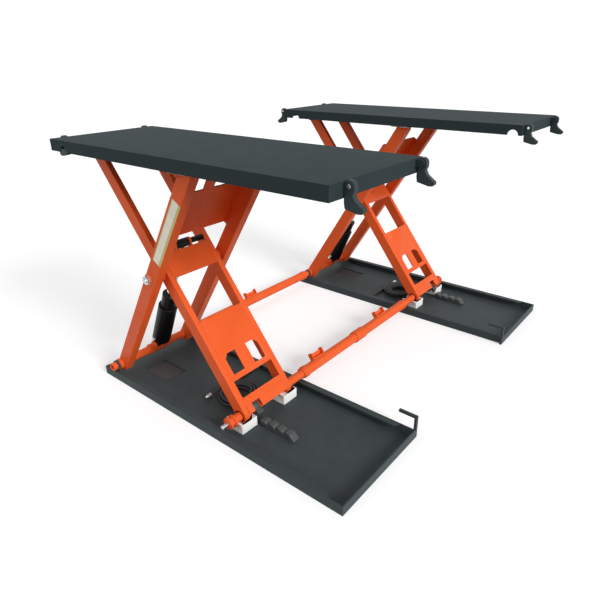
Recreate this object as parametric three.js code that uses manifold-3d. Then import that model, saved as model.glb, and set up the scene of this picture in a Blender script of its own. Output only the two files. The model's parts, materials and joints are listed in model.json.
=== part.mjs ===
// Mid rise scissor car lift: two mirrored units joined by two round cross tubes, shown raised.
// Millimetres, +Z up. x runs along the decks, y across the bay, z is zero on the floor.
// The origin is on the floor, halfway between the units and under the middle of the decks.
import * as THREE from "three";
import { mergeVertices } from "three/addons/utils/BufferGeometryUtils.js";
import Module from "manifold-3d";

const wasm = await Module();
wasm.setup();

// Driving dimensions of the whole lift
const unitGap = 988;
const trayWidth = 520;
const trayLead = 74;
const trayTail = 52;
const pivotHeight = 64;
const raisedDegrees = 57.6;
const outerLowerLength = 640;
const innerLowerLength = 686;
const upperShare = 0.879;
const deckLength = 1468;
const deckWidth = 522;
const deckTail = 135.46;
const deckOverPivot = 56.2;

// Clearances
const seatGap = 0.3;
const runGap = 0.4;
const sideGap = 1.5;
const cutOverrun = 2;

// Scissor arms, box section
const armDepth = 84;
const armWidth = 44;
const innerArmMiddle = 142;
const outerArmMiddle = 193;
const innerTopRadius = 17;
const innerTopTaper = 60;
const bossRadius = 30;

// Shafts, tubes and pins
const shaftRadius = 20;
const shaftBore = 14;
const collarRadius = 27;
const collarWidth = 12;
const baseShaftOut = 266;
const tubeJointPlace = 247;
const lowerShaftOut = 216;
const stubRadius = 10;
const stubOut = 246;
const topPinRadius = 9;
const centrePinRadius = 14;
const nutRadius = 21;
const nutThickness = 14;
const washerThickness = 5;
const headThickness = 8;

// Tray
const trayPlate = 6;
const railHeight = 42;
const railThickness = 5;
const flangeWidth = 30;
const flangeEndGap = 72;
const flangeCornerRadius = 22;
const earThickness = 12;
const earInside = 232;
const earHalfLength = 34;
const earTopRadius = 25;
const serviceHoleStart = 60;
const serviceHoleLength = 175;
const serviceHoleInside = 5;
const serviceHoleWidth = 115;
const hookBar = 12;
const hookHeight = 106;
const hookArmLength = 85;
const hookPadHeight = 30;
const bulkheadLength = 26;
const bulkheadHeight = 24;

// Lock rack and pawl
const rackGap = 62;
const rackPitch = 46;
const rackTeeth = 4;
const rackInside = 48;
const rackWidth = 36;
const rackFoot = 6;
const rackHeight = 32;
const pawlReach = 52;
const pawlWall = 10;
const pawlDepth = 18;
const pawlTipDrop = 30;

// Deck
const deckPlate = 6;
const skirtDepth = 48;
const notchRadius = 26;
const deckEarInside = 104;
const deckEarThickness = 12;
const deckEarBack = 15;
const deckEarFront = 24;
const ribInside = 46;
const ribWidth = 8;
const ribDepth = 5;
const ribGap = 8;

// Ramp lugs
const lugThickness = 20;
const outerLugPlace = 185;
const innerLugPlace = 230;
const lugOut = 19;
const lugDrop = 13;
const lugBossRadius = 17;
const lugLength = 80;
const lugWaistDrop = 35.2;
const lugReach = 74;
const lugBracket = 8;
const lugClearance = 2;

// Slide blocks
const blockInside = 88;
const blockOutside = 176;
const blockBack = 52;
const blockFront = 45;
const blockTop = 46;
const blockSlab = 14;
const padWidth = 28;
const padHalfLength = 46;
const padGap = 7.5;

// Frame plates
const panelThickness = 7;
const bandTop = 70;
const bandBottom = 43;
const eyeNotchEnd = 22;
const panelLength = 406;
const panelFootGap = 24;
const bottomStrip = 36;
const wideWindowHeight = 79;
const middleStrip = 25;
const windowHeight = 94;
const windowInside = 32;
const windowOutside = 97;
const windowCorner = 20;
const crossPlateBottom = 170;
const crossPlateTop = 405;
const crossPlateHalfWidth = 200;
const crossTabTop = 450;
const crossTabHalfWidth = 27;

// Hydraulic cylinder
const footAlong = 60;
const footBelow = 12;
const eyeAlong = 95;
const eyeAbove = 28;
const barrelRadius = 36;
const barrelLength = 340;
const barrelStart = 26;
const barrelBoreStart = 52;
const rodStart = 213;
const footEyeRadius = 19;
const footEyeHalfWidth = 34;
const footPinRadius = 11;
const footEarThickness = 11;
const footWebHalfWidth = 15.5;
const footSleeveRadius = 24;
const rodRadius = 20;
const rodEyeRadius = 20;
const rodEyeHalfWidth = 30;
const rodEarThickness = 10;
const rodPlay = 6;
const portRadius = 9;
const portHeight = 16;
const glandRadius = 37.5;
const glandLength = 26;

// Cross tubes
const tubeCollarStart = 264;
const tubeCollarWidth = 26;
const tubeCollarRadius = 25;
const sleeveHalfLength = 42;
const sleeveRadius = 25;
const guideWidth = 34;
const guideHeight = 30;
const guideThickness = 5;
const frontGuidePlaces = [-190, 232];
const rearGuidePlace = -372;

// Hydraulic hose, coiled in the tray
const hoseRadius = 6.5;
const coilBehindShaft = 167.5;
const coilOffset = -12;
const coilOuterRadius = 96;
const coilPitch = 15.7;
const coilTurnsALayer = 2.75;
const layerRise = 14.6;
const loopSteps = 24;
const hoseSides = 6;
const hoseNearSpan = 39;
const hoseLift = 0.8;
const endLevelRun = 32;
const endDropRun = 44;
const couplingRadius = 12;
const couplingLength = 18;
const noseRadius = 8;
const noseLength = 14;

// Round faces
const roundSteps = 16;
const smallSteps = 12;
const hexSides = 6;

// Places that follow from the driving dimensions
const raised = THREE.MathUtils.degToRad(raisedDegrees);
const centreRise = outerLowerLength * Math.sin(raised);
const innerRaised = Math.asin(centreRise / innerLowerLength);
const centreX = outerLowerLength * Math.cos(raised);
const centreZ = pivotHeight + centreRise;
const lowerShaftX = centreX + innerLowerLength * Math.cos(innerRaised);
const outerUpperLength = outerLowerLength * upperShare;
const innerUpperLength = innerLowerLength * upperShare;
const topPivotZ = centreZ + centreRise * upperShare;
const deckPivotX = centreX - innerUpperLength * Math.cos(innerRaised);
const padPivotX = centreX + outerUpperLength * Math.cos(raised);
const deckTop = topPivotZ + deckOverPivot;
const deckUnder = deckTop - deckPlate;
const deckLead = deckTail - deckPivotX;
const deckEnd = deckLength - deckLead;
const loweredShaftX = outerLowerLength + innerLowerLength;
const trayEnd = loweredShaftX + trayTail;
const unitMiddle = (unitGap + trayWidth) / 2;
const middleX = deckLength / 2 - deckLead;
const halfTray = trayWidth / 2;
const halfDeck = deckWidth / 2;
const halfDepth = armDepth / 2;
const halfArm = armWidth / 2;
const rackStart = lowerShaftX + rackGap;
// The platform shifts along x as it comes down, so its notches are placed for the lowered lift.
const loweredShift = outerLowerLength - innerUpperLength - deckPivotX;
const panelEnd = innerLowerLength - panelFootGap;
const panelTop = panelEnd - panelLength;
const wideWindowBottom = panelEnd - bottomStrip;
const wideWindowTop = wideWindowBottom - wideWindowHeight;
const panelWindowBottom = wideWindowTop - middleStrip;
const panelWindowTop = panelWindowBottom - windowHeight;
const coilMiddle = lowerShaftX - coilBehindShaft;
const hoseLine = coilMiddle - coilOuterRadius;
const couplingStart = coilOffset + endLevelRun + endDropRun + 2 * hoseRadius;

// Materials
function paint(color, roughness, metalness) {
  return new THREE.MeshStandardMaterial({ color, roughness, metalness });
}
const orange = paint(0xe6502a, 0.42, 0.1);
const dark = paint(0x3f4b4c, 0.55, 0.2);
const zinc = paint(0xb9bcbd, 0.35, 0.9);
const chrome = paint(0xd8dadc, 0.12, 1);
const black = paint(0x141515, 0.4, 0.2);
const white = paint(0xf2f2ef, 0.6, 0);

// Solids
function solid(geometry) {
  const bare = geometry.clone();
  for (const name of Object.keys(bare.attributes)) {
    if (name !== "position") bare.deleteAttribute(name);
  }
  const merged = mergeVertices(bare);
  return new wasm.Manifold(
    new wasm.Mesh({
      numProp: 3,
      vertProperties: new Float32Array(merged.attributes.position.array),
      triVerts: new Uint32Array(merged.index.array),
    }),
  );
}

function geometryOf(manifold) {
  const mesh = manifold.getMesh();
  const geometry = new THREE.BufferGeometry();
  geometry.setAttribute("position", new THREE.BufferAttribute(mesh.vertProperties, 3));
  geometry.setIndex(new THREE.BufferAttribute(mesh.triVerts, 1));
  const flat = geometry.toNonIndexed();
  flat.computeVertexNormals();
  return flat;
}

function join(...pieces) {
  return pieces.reduce((sum, piece) => sum.add(piece));
}

function cut(body, ...tools) {
  return tools.reduce((left, tool) => left.subtract(tool), body);
}

function block(x0, x1, y0, y1, z0, z1) {
  const box = new THREE.BoxGeometry(x1 - x0, y1 - y0, z1 - z0);
  box.translate((x0 + x1) / 2, (y0 + y1) / 2, (z0 + z1) / 2);
  return solid(box);
}

// A round bar along y
function roundBar(x, z, radius, y0, y1, steps = roundSteps) {
  const bar = new THREE.CylinderGeometry(radius, radius, y1 - y0, steps);
  bar.translate(x, (y0 + y1) / 2, z);
  return solid(bar);
}

// A round bar along x
function longBar(x0, x1, y, z, radius, steps = roundSteps) {
  const bar = new THREE.CylinderGeometry(radius, radius, x1 - x0, steps);
  bar.rotateZ(-Math.PI / 2);
  bar.translate((x0 + x1) / 2, y, z);
  return solid(bar);
}

// An outline drawn in x and z, with its thickness along y
function sidePlate(shape, y0, y1) {
  const plate = new THREE.ExtrudeGeometry(shape, {
    depth: y1 - y0,
    bevelEnabled: false,
    curveSegments: roundSteps / 2,
  });
  plate.rotateX(Math.PI / 2);
  plate.translate(0, y1, 0);
  return solid(plate);
}

// An outline drawn in x and y, with its thickness along z
function flatPlate(shape, z0, z1) {
  const plate = new THREE.ExtrudeGeometry(shape, {
    depth: z1 - z0,
    bevelEnabled: false,
    curveSegments: smallSteps / 2,
  });
  plate.translate(0, 0, z0);
  return solid(plate);
}

function outline(points) {
  const shape = new THREE.Shape();
  points.forEach(([a, b], i) => (i ? shape.lineTo(a, b) : shape.moveTo(a, b)));
  return shape;
}

function place(group, name, manifold, material) {
  const mesh = new THREE.Mesh(geometryOf(manifold), material);
  mesh.name = name;
  group.add(mesh);
  return mesh;
}

// A frame whose x runs along an arm from the centre pin and whose z points to the arm's upper side
function armFrame(angle) {
  const frame = new THREE.Group();
  frame.position.set(centreX, 0, centreZ);
  frame.rotation.y = angle;
  return frame;
}

// Tray with its rails, pivot ears, end plate, hook bar and hose boss
function tray() {
  const x0 = -trayLead;
  const x1 = trayEnd;
  const floor = block(x0, x1, -halfTray, halfTray, 0, trayPlate);
  const endPlate = block(x1 - trayPlate, x1, -halfTray, halfTray, 0, railHeight);
  const flangeEnd = x1 - flangeEndGap;
  const rails = [-1, 1].map((side) => {
    const outer = side * halfTray;
    const web = side * (halfTray - railThickness);
    const lip = side * (halfTray - flangeWidth);
    const wall = block(x0, x1, Math.min(outer, web), Math.max(outer, web), 0, railHeight);
    const shape = new THREE.Shape();
    shape.moveTo(x0, outer);
    shape.lineTo(x0, lip);
    shape.lineTo(flangeEnd - flangeCornerRadius, lip);
    shape.quadraticCurveTo(flangeEnd, lip, flangeEnd, web);
    shape.lineTo(flangeEnd, outer);
    return join(wall, flatPlate(shape, railHeight - railThickness, railHeight));
  });
  const ears = [-1, 1].map((side) => {
    const shape = new THREE.Shape();
    shape.moveTo(-earHalfLength, 0);
    shape.lineTo(earHalfLength, 0);
    shape.lineTo(earTopRadius, pivotHeight);
    shape.absarc(0, pivotHeight, earTopRadius, 0, Math.PI, false);
    const y0 = side > 0 ? earInside : -earInside - earThickness;
    return sidePlate(shape, y0, y0 + earThickness);
  });
  const hookY1 = -halfDeck - seatGap;
  const hookY0 = hookY1 - hookBar;
  const hookX0 = x1 - hookBar;
  const hook = join(
    block(hookX0, x1, hookY0, hookY1, 0, hookHeight),
    block(hookX0 - hookArmLength + hookBar, x1, hookY0, hookY1, hookHeight - hookBar, hookHeight),
    block(hookX0, x1, hookY1, -halfTray, 0, hookPadHeight),
  );
  const boss = block(
    hoseLine - bulkheadLength / 2,
    hoseLine + bulkheadLength / 2,
    -halfTray + railThickness / 2,
    -halfTray + flangeWidth,
    trayPlate / 2,
    trayPlate + bulkheadHeight,
  );
  const body = join(floor, endPlate, ...rails, ...ears, hook, boss);
  const bore = roundBar(0, pivotHeight, shaftRadius + runGap, -halfTray, halfTray);
  const serviceHole = block(
    serviceHoleStart,
    serviceHoleStart + serviceHoleLength,
    serviceHoleInside,
    serviceHoleInside + serviceHoleWidth,
    -cutOverrun,
    trayPlate + cutOverrun,
  );
  return cut(body, bore, serviceHole);
}

// Stepped lock rack: each tooth has a steep face towards the shaft and a ramp behind it
function lockRack() {
  const floor = trayPlate + seatGap;
  const points = [[rackStart, floor]];
  for (let i = 0; i < rackTeeth; i += 1) {
    const face = rackStart + i * rackPitch;
    points.push([face, floor + rackHeight]);
    points.push([face + rackPitch / 2, floor + rackHeight - rackFoot / 2]);
    points.push([face + rackPitch, floor + rackFoot]);
  }
  points.push([rackStart + rackTeeth * rackPitch, floor]);
  return sidePlate(outline(points), rackInside, rackInside + rackWidth);
}

// Outer arm: a round end at each pivot, with the pin that carries the upper slide pad
function outerArm(side) {
  const shape = new THREE.Shape();
  shape.moveTo(-outerLowerLength, -halfDepth);
  shape.lineTo(outerUpperLength, -halfDepth);
  shape.absarc(outerUpperLength, 0, halfDepth, -Math.PI / 2, Math.PI / 2, false);
  shape.lineTo(-outerLowerLength, halfDepth);
  shape.absarc(-outerLowerLength, 0, halfDepth, Math.PI / 2, Math.PI * 1.5, false);
  const y0 = side * outerArmMiddle - halfArm;
  const y1 = side * outerArmMiddle + halfArm;
  const pinEnd = side * (outerArmMiddle + halfArm + sideGap * 2 + padWidth);
  const arm = sidePlate(shape, y0, y1);
  const pin = roundBar(
    outerUpperLength,
    0,
    topPinRadius,
    Math.min(side * outerArmMiddle, pinEnd),
    Math.max(side * outerArmMiddle, pinEnd),
    smallSteps,
  );
  return cut(
    join(arm, pin),
    roundBar(-outerLowerLength, 0, shaftRadius + runGap, y0 - cutOverrun, y1 + cutOverrun),
    roundBar(0, 0, centrePinRadius + runGap, y0 - cutOverrun, y1 + cutOverrun),
  );
}

// Inner arm: its top end is cut back below so that it clears the base shaft when the lift is down
function innerArm(side) {
  const top = -innerUpperLength;
  const shape = new THREE.Shape();
  shape.moveTo(top - innerTopRadius, halfDepth);
  shape.lineTo(top - innerTopRadius, 0);
  shape.absarc(top, 0, innerTopRadius, Math.PI, Math.PI * 1.5, false);
  shape.lineTo(top + innerTopTaper, -halfDepth);
  shape.lineTo(innerLowerLength, -halfDepth);
  shape.absarc(innerLowerLength, 0, halfDepth, -Math.PI / 2, Math.PI / 2, false);
  const y0 = side * innerArmMiddle - halfArm;
  const y1 = side * innerArmMiddle + halfArm;
  const bossEnd = side * (outerArmMiddle - halfArm - seatGap);
  const boss = roundBar(
    0,
    0,
    bossRadius,
    Math.min(side * innerArmMiddle, bossEnd),
    Math.max(side * innerArmMiddle, bossEnd),
  );
  const low = Math.min(y0, bossEnd) - cutOverrun;
  const high = Math.max(y1, bossEnd) + cutOverrun;
  return cut(
    join(sidePlate(shape, y0, y1), boss),
    roundBar(innerLowerLength, 0, shaftRadius + runGap, low, high),
    roundBar(0, 0, centrePinRadius + runGap, low, high),
    roundBar(top, 0, topPinRadius + runGap, low, high, smallSteps),
  );
}

// Plate lapped over the upper sides of the outer arms, with a tab towards the deck
function crossPlate() {
  const w = crossPlateHalfWidth;
  const t = crossTabHalfWidth;
  const shape = outline([
    [crossPlateBottom, -w],
    [crossPlateTop, -w],
    [crossPlateTop, -t],
    [crossTabTop, -t],
    [crossTabTop, t],
    [crossPlateTop, t],
    [crossPlateTop, w],
    [crossPlateBottom, w],
  ]);
  return flatPlate(shape, halfDepth + seatGap, halfDepth + seatGap + panelThickness);
}

// Window in the inner panel, with a cut corner at its upper end
function panelWindow(side) {
  const inner = side * windowInside;
  const outer = side * windowOutside;
  const corner = side * windowCorner;
  const points = [
    [panelWindowBottom, inner],
    [panelWindowTop, inner],
    [panelWindowTop, outer - corner],
    [panelWindowTop + windowCorner, outer],
    [panelWindowBottom, outer],
  ];
  return flatPlate(outline(points), -halfDepth, armDepth);
}

// Big lower panel of the inner frame with its two windows, the wide window and the bottom strip
function innerPanel() {
  const half = innerArmMiddle - halfArm - seatGap;
  const top = halfDepth;
  const plate = block(panelTop, panelEnd, -half, half, top - panelThickness, top);
  const rib = block(
    panelTop,
    panelTop + panelThickness,
    -half,
    half,
    top - panelThickness * 3,
    top - panelThickness / 2,
  );
  const wide = block(
    wideWindowTop,
    wideWindowBottom,
    -half + panelThickness / 2,
    half - panelThickness / 2,
    -halfDepth,
    armDepth,
  );
  return cut(join(plate, rib), wide, panelWindow(-1), panelWindow(1));
}

// Upper band of the inner frame, notched between the two ears that take the cylinder's rod eye
function innerBand() {
  const half = innerArmMiddle - halfArm - seatGap;
  const plate = block(-bandTop, bandBottom, -half, half, halfDepth - panelThickness, halfDepth);
  const eye = -eyeAlong;
  const ears = [-1, 1].map((side) => {
    const inner = rodEyeHalfWidth + rodPlay;
    const shape = new THREE.Shape();
    shape.moveTo(eye + rodEyeRadius, halfDepth - panelThickness / 2);
    shape.lineTo(eye + rodEyeRadius * 2, halfDepth - panelThickness / 2);
    shape.lineTo(eye + rodEyeRadius, eyeAbove - rodEyeRadius / 2);
    shape.lineTo(eye, eyeAbove - rodEyeRadius);
    shape.absarc(eye, eyeAbove, rodEyeRadius, -Math.PI / 2, Math.PI / 2, true);
    const y0 = side > 0 ? inner : -inner - rodEarThickness;
    const bore = roundBar(
      eye,
      eyeAbove,
      footPinRadius + seatGap,
      y0 - cutOverrun,
      y0 + rodEarThickness + cutOverrun,
      smallSteps,
    );
    return cut(sidePlate(shape, y0, y0 + rodEarThickness), bore);
  });
  const notch = block(
    -bandTop - cutOverrun,
    -eyeNotchEnd,
    -rodEyeHalfWidth - rodPlay,
    rodEyeHalfWidth + rodPlay,
    0,
    armDepth,
  );
  return cut(join(plate, ...ears), notch);
}

// Base pivot shaft with the collars that keep the outer arms off the tray ears
function baseShaft() {
  const armOut = outerArmMiddle + halfArm + seatGap;
  const collars = [-1, 1].map((side) => {
    const a = side * armOut;
    const b = side * (armOut + collarWidth);
    return roundBar(0, pivotHeight, collarRadius, Math.min(a, b), Math.max(a, b));
  });
  const bar = roundBar(0, pivotHeight, shaftRadius, -tubeJointPlace, baseShaftOut);
  const hollow = roundBar(
    0,
    pivotHeight,
    shaftBore,
    baseShaftOut - trayLead,
    baseShaftOut + cutOverrun,
  );
  return cut(join(bar, ...collars), hollow);
}

// Bracket on the base shaft that carries the foot of the cylinder
function cylinderFoot(foot) {
  const inner = footEyeHalfWidth + seatGap;
  const ears = [-1, 1].map((side) => {
    const y0 = side > 0 ? inner : -inner - footEarThickness;
    const ring = roundBar(0, pivotHeight, collarRadius, y0, y0 + footEarThickness);
    const eye = roundBar(foot.x, foot.z, footEyeRadius, y0, y0 + footEarThickness);
    const across = new THREE.Vector2(pivotHeight - foot.z, foot.x).setLength(footWebHalfWidth);
    const web = sidePlate(
      outline([
        [-across.x, pivotHeight - across.y],
        [foot.x - across.x, foot.z - across.y],
        [foot.x + across.x, foot.z + across.y],
        [across.x, pivotHeight + across.y],
      ]),
      y0,
      y0 + footEarThickness,
    );
    return join(ring, eye, web);
  });
  const sunk = inner + footEarThickness / 2;
  const sleeve = roundBar(0, pivotHeight, footSleeveRadius, -sunk, sunk);
  const pin = roundBar(foot.x, foot.z, footPinRadius, -sunk, sunk, smallSteps);
  const bore = roundBar(0, pivotHeight, shaftRadius + seatGap, -halfTray, halfTray);
  return cut(join(...ears, sleeve, pin), bore);
}

// Lower shaft of the inner frame with its outer collars and end stub
function lowerShaft() {
  const bar = roundBar(lowerShaftX, pivotHeight, shaftRadius, -tubeJointPlace, lowerShaftOut);
  const stub = roundBar(lowerShaftX, pivotHeight, stubRadius, 0, stubOut, smallSteps);
  const first = blockOutside + sideGap * 2;
  const second = lowerShaftOut - collarWidth - sideGap;
  const collars = [first, second].map((y) =>
    roundBar(lowerShaftX, pivotHeight, collarRadius, y, y + collarWidth),
  );
  return join(bar, stub, ...collars);
}

// Pin of the centre pivot with its head inside and its nut outside
function centrePin(side) {
  const inner = innerArmMiddle - halfArm - seatGap;
  const outer = outerArmMiddle + halfArm + seatGap;
  const span = (a, b) => [Math.min(side * a, side * b), Math.max(side * a, side * b)];
  const nutEnd = outer + nutThickness;
  const shank = roundBar(0, 0, centrePinRadius, ...span(inner - headThickness, nutEnd));
  const head = roundBar(0, 0, nutRadius, ...span(inner - headThickness, inner), smallSteps);
  const washer = roundBar(0, 0, nutRadius, ...span(outer, outer + washerThickness));
  const nutStart = outer + washerThickness / 2;
  const nut = roundBar(0, 0, nutRadius - seatGap, ...span(nutStart, nutEnd), hexSides);
  const tip = roundBar(0, 0, centrePinRadius - sideGap, ...span(outer, nutEnd + washerThickness));
  return join(shank, head, washer, nut, tip);
}

// Deck: top plate, skirts, end plates, pivot ears with their pins, slide runners and lug brackets
function deck() {
  const x0 = -deckLead;
  const x1 = deckEnd;
  const bottom = deckTop - skirtDepth;
  const plate = block(x0, x1, -halfDeck, halfDeck, deckUnder, deckTop);
  const walls = [
    block(x0, x1, -halfDeck, -halfDeck + deckPlate, bottom, deckTop),
    block(x0, x1, halfDeck - deckPlate, halfDeck, bottom, deckTop),
    block(x0, x0 + deckPlate, -halfDeck, halfDeck, bottom, deckTop),
    block(x1 - deckPlate, x1, -halfDeck, halfDeck, bottom, deckTop),
  ];
  const ears = [-1, 1].map((side) => {
    const shape = new THREE.Shape();
    shape.moveTo(deckPivotX - deckEarBack, deckUnder + deckPlate / 2);
    shape.lineTo(deckPivotX - deckEarBack, topPivotZ);
    shape.absarc(deckPivotX, topPivotZ, deckEarBack, Math.PI, 0, false);
    shape.lineTo(deckPivotX + deckEarFront, deckUnder);
    shape.lineTo(deckPivotX + deckEarFront, deckUnder + deckPlate / 2);
    const y0 = side > 0 ? deckEarInside : -deckEarInside - deckEarThickness;
    const pinEnd = side * (innerArmMiddle + halfArm + sideGap);
    const pin = roundBar(
      deckPivotX,
      topPivotZ,
      topPinRadius,
      Math.min(side * deckEarInside, pinEnd),
      Math.max(side * deckEarInside, pinEnd),
      smallSteps,
    );
    return join(sidePlate(shape, y0, y0 + deckEarThickness), pin);
  });
  // The ribs stop short of where the cross plate lies when the lift is down
  const plateStart = outerLowerLength + crossPlateBottom - loweredShift;
  const plateStop = outerLowerLength + crossPlateTop - loweredShift;
  const ribs = [-1, 1].flatMap((side) =>
    [
      [x0, plateStart - ribGap],
      [plateStop + ribGap, x1],
    ].map(([start, stop]) =>
      block(
        start,
        stop,
        Math.min(side * ribInside, side * (ribInside + ribWidth)),
        Math.max(side * ribInside, side * (ribInside + ribWidth)),
        deckUnder - ribDepth,
        deckUnder + deckPlate / 2,
      ),
    ),
  );
  const brackets = lugPlaces().map(({ end, y }) => {
    const wall = end > 0 ? x1 : x0;
    const out = wall + end * lugOut;
    const past = lugThickness / 2 + runGap;
    const near = y > 0 ? y - past - lugBracket : y + past;
    const z = deckTop - lugDrop;
    const arm = block(
      Math.min(wall - end * deckPlate / 2, out),
      Math.max(wall - end * deckPlate / 2, out),
      near,
      near + lugBracket,
      z - lugBossRadius + lugClearance,
      z + lugDrop - lugClearance,
    );
    const pin0 = y > 0 ? near : y - lugThickness / 2;
    const pin1 = y > 0 ? y + lugThickness / 2 : near + lugBracket;
    const round = roundBar(out, z, lugDrop - lugClearance, near, near + lugBracket, smallSteps);
    return join(arm, round, roundBar(out, z, topPinRadius, pin0, pin1, smallSteps));
  });
  const body = join(plate, ...walls, ...ears, ...ribs, ...brackets);
  const notchAt = (x, y0, y1) => roundBar(x, bottom, notchRadius, y0, y1);
  const low = -halfDeck - cutOverrun;
  const high = halfDeck + cutOverrun;
  const skin = deckPlate + cutOverrun;
  return cut(
    body,
    notchAt(-loweredShift, low, -halfDeck + skin),
    notchAt(-loweredShift, halfDeck - skin, high),
    notchAt(loweredShaftX - loweredShift, low, -halfDeck + skin),
  );
}

// The four ramp lugs of a unit: end is the deck end along x, y is the lug's middle
function lugPlaces() {
  return [-1, 1].flatMap((end) => [
    { end, y: outerLugPlace, name: (end > 0 ? "front" : "rear") + "_outer" },
    { end, y: -innerLugPlace, name: (end > 0 ? "front" : "rear") + "_inner" },
  ]);
}

// Ramp lug hanging from its pin, leaning outward to a stepped foot
function rampLug({ end, y }) {
  const wall = end > 0 ? deckEnd : -deckLead;
  const at = (out, drop) => [wall + end * out, deckTop - drop];
  const shape = new THREE.Shape();
  const start = at(lugClearance, lugDrop);
  shape.moveTo(...start);
  const centre = at(lugOut, lugDrop);
  if (end > 0) shape.absarc(...centre, lugBossRadius, Math.PI, 0, true);
  else shape.absarc(...centre, lugBossRadius, 0, Math.PI, false);
  const right = lugOut + lugBossRadius;
  const waist = lugWaistDrop;
  [
    [right, waist - lugClearance * 3],
    [right - lugClearance * 3, waist],
    [lugReach - lugBossRadius, lugLength - lugBossRadius],
    [lugReach - lugDrop, lugLength - lugBossRadius - lugClearance],
    [lugReach, lugLength - lugClearance * 3],
    [lugReach - lugClearance, lugLength],
    [lugOut + lugDrop, lugLength],
    [lugClearance, skirtDepth + lugClearance],
  ].forEach(([out, drop]) => shape.lineTo(...at(out, drop)));
  const body = sidePlate(shape, y - lugThickness / 2, y + lugThickness / 2);
  return cut(
    body,
    roundBar(
      centre[0],
      centre[1],
      topPinRadius + runGap,
      y - lugThickness,
      y + lugThickness,
      smallSteps,
    ),
  );
}

// Lower slide block: a saddle under the lower shaft, slotted for the arm's round end
function lowerBlock(side) {
  const floor = trayPlate + seatGap;
  const span = (a, b) => [Math.min(side * a, side * b), Math.max(side * a, side * b)];
  const body = block(
    lowerShaftX - blockBack,
    lowerShaftX + blockFront,
    ...span(blockInside, blockOutside),
    floor,
    floor + blockTop,
  );
  const slot = block(
    lowerShaftX - blockBack - cutOverrun,
    lowerShaftX + halfDepth + sideGap,
    ...span(innerArmMiddle - halfArm - sideGap, innerArmMiddle + halfArm + sideGap),
    floor + blockSlab,
    floor + armDepth,
  );
  const seat = roundBar(
    lowerShaftX,
    pivotHeight,
    shaftRadius + runGap,
    ...span(blockInside - cutOverrun, blockOutside + cutOverrun),
  );
  return cut(body, slot, seat);
}

// Upper slide pad, a saddle over the pin at the outer arm's top end
function upperPad(side) {
  const start = outerArmMiddle + halfArm + sideGap;
  const span = (a, b) => [Math.min(side * a, side * b), Math.max(side * a, side * b)];
  const body = block(
    padPivotX - padHalfLength,
    padPivotX + padHalfLength,
    ...span(start, start + padWidth),
    topPivotZ + sideGap,
    deckUnder - padGap,
  );
  const seat = roundBar(
    padPivotX,
    topPivotZ,
    topPinRadius + runGap,
    ...span(start - cutOverrun, start + padWidth + cutOverrun),
    smallSteps,
  );
  return cut(body, seat);
}

// Hydraulic barrel along x from its foot eye, with its port and end gland
function barrel() {
  const tube = longBar(barrelStart, barrelLength, 0, 0, barrelRadius);
  const gland = longBar(barrelLength - glandLength, barrelLength, 0, 0, glandRadius);
  const neck = longBar(0, barrelStart + cutOverrun, 0, 0, footEyeRadius);
  const eye = roundBar(0, 0, footEyeRadius, -footEyeHalfWidth, footEyeHalfWidth);
  const portPlace = barrelStart + footEyeRadius;
  const portEnd = barrelRadius + portHeight;
  const port = roundBar(portPlace, 0, portRadius, barrelRadius / 2, portEnd, smallSteps);
  const body = join(tube, gland, neck, eye, port);
  const bore = longBar(barrelBoreStart, barrelLength + cutOverrun, 0, 0, rodRadius + runGap);
  const pinBore = roundBar(0, 0, footPinRadius + runGap, -barrelRadius, barrelRadius, smallSteps);
  return cut(body, bore, pinBore);
}

// Chromed rod with its eye and pin
function rod(length) {
  const bar = longBar(rodStart, length, 0, 0, rodRadius);
  const eye = roundBar(length, 0, rodEyeRadius, -rodEyeHalfWidth, rodEyeHalfWidth);
  const reach = rodEyeHalfWidth + rodPlay - seatGap;
  const pin = roundBar(length, 0, footPinRadius, -reach, reach, smallSteps);
  return join(bar, eye, pin);
}

// Lock pawl on the lower shaft, reaching forward over the rack
function lockPawl() {
  const y0 = rackInside + sideGap;
  const y1 = rackInside + rackWidth - sideGap;
  const ring = roundBar(lowerShaftX, pivotHeight, shaftRadius + pawlWall, y0, y1);
  const tip = lowerShaftX + pawlReach;
  const shape = outline([
    [lowerShaftX, pivotHeight - pawlDepth / 2],
    [tip - pawlDepth, pivotHeight - pawlDepth / 2],
    [tip - pawlDepth / 2, pivotHeight - pawlDepth / 2 - pawlTipDrop / 2],
    [tip, pivotHeight - pawlDepth / 2],
    [tip, pivotHeight],
    [tip - pawlDepth, pivotHeight + pawlDepth / 2],
    [lowerShaftX, pivotHeight + pawlDepth],
  ]);
  const low = y0 - cutOverrun;
  const high = y1 + cutOverrun;
  const bore = roundBar(lowerShaftX, pivotHeight, shaftRadius + runGap, low, high);
  return cut(join(ring, sidePlate(shape, y0, y1)), bore);
}

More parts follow.
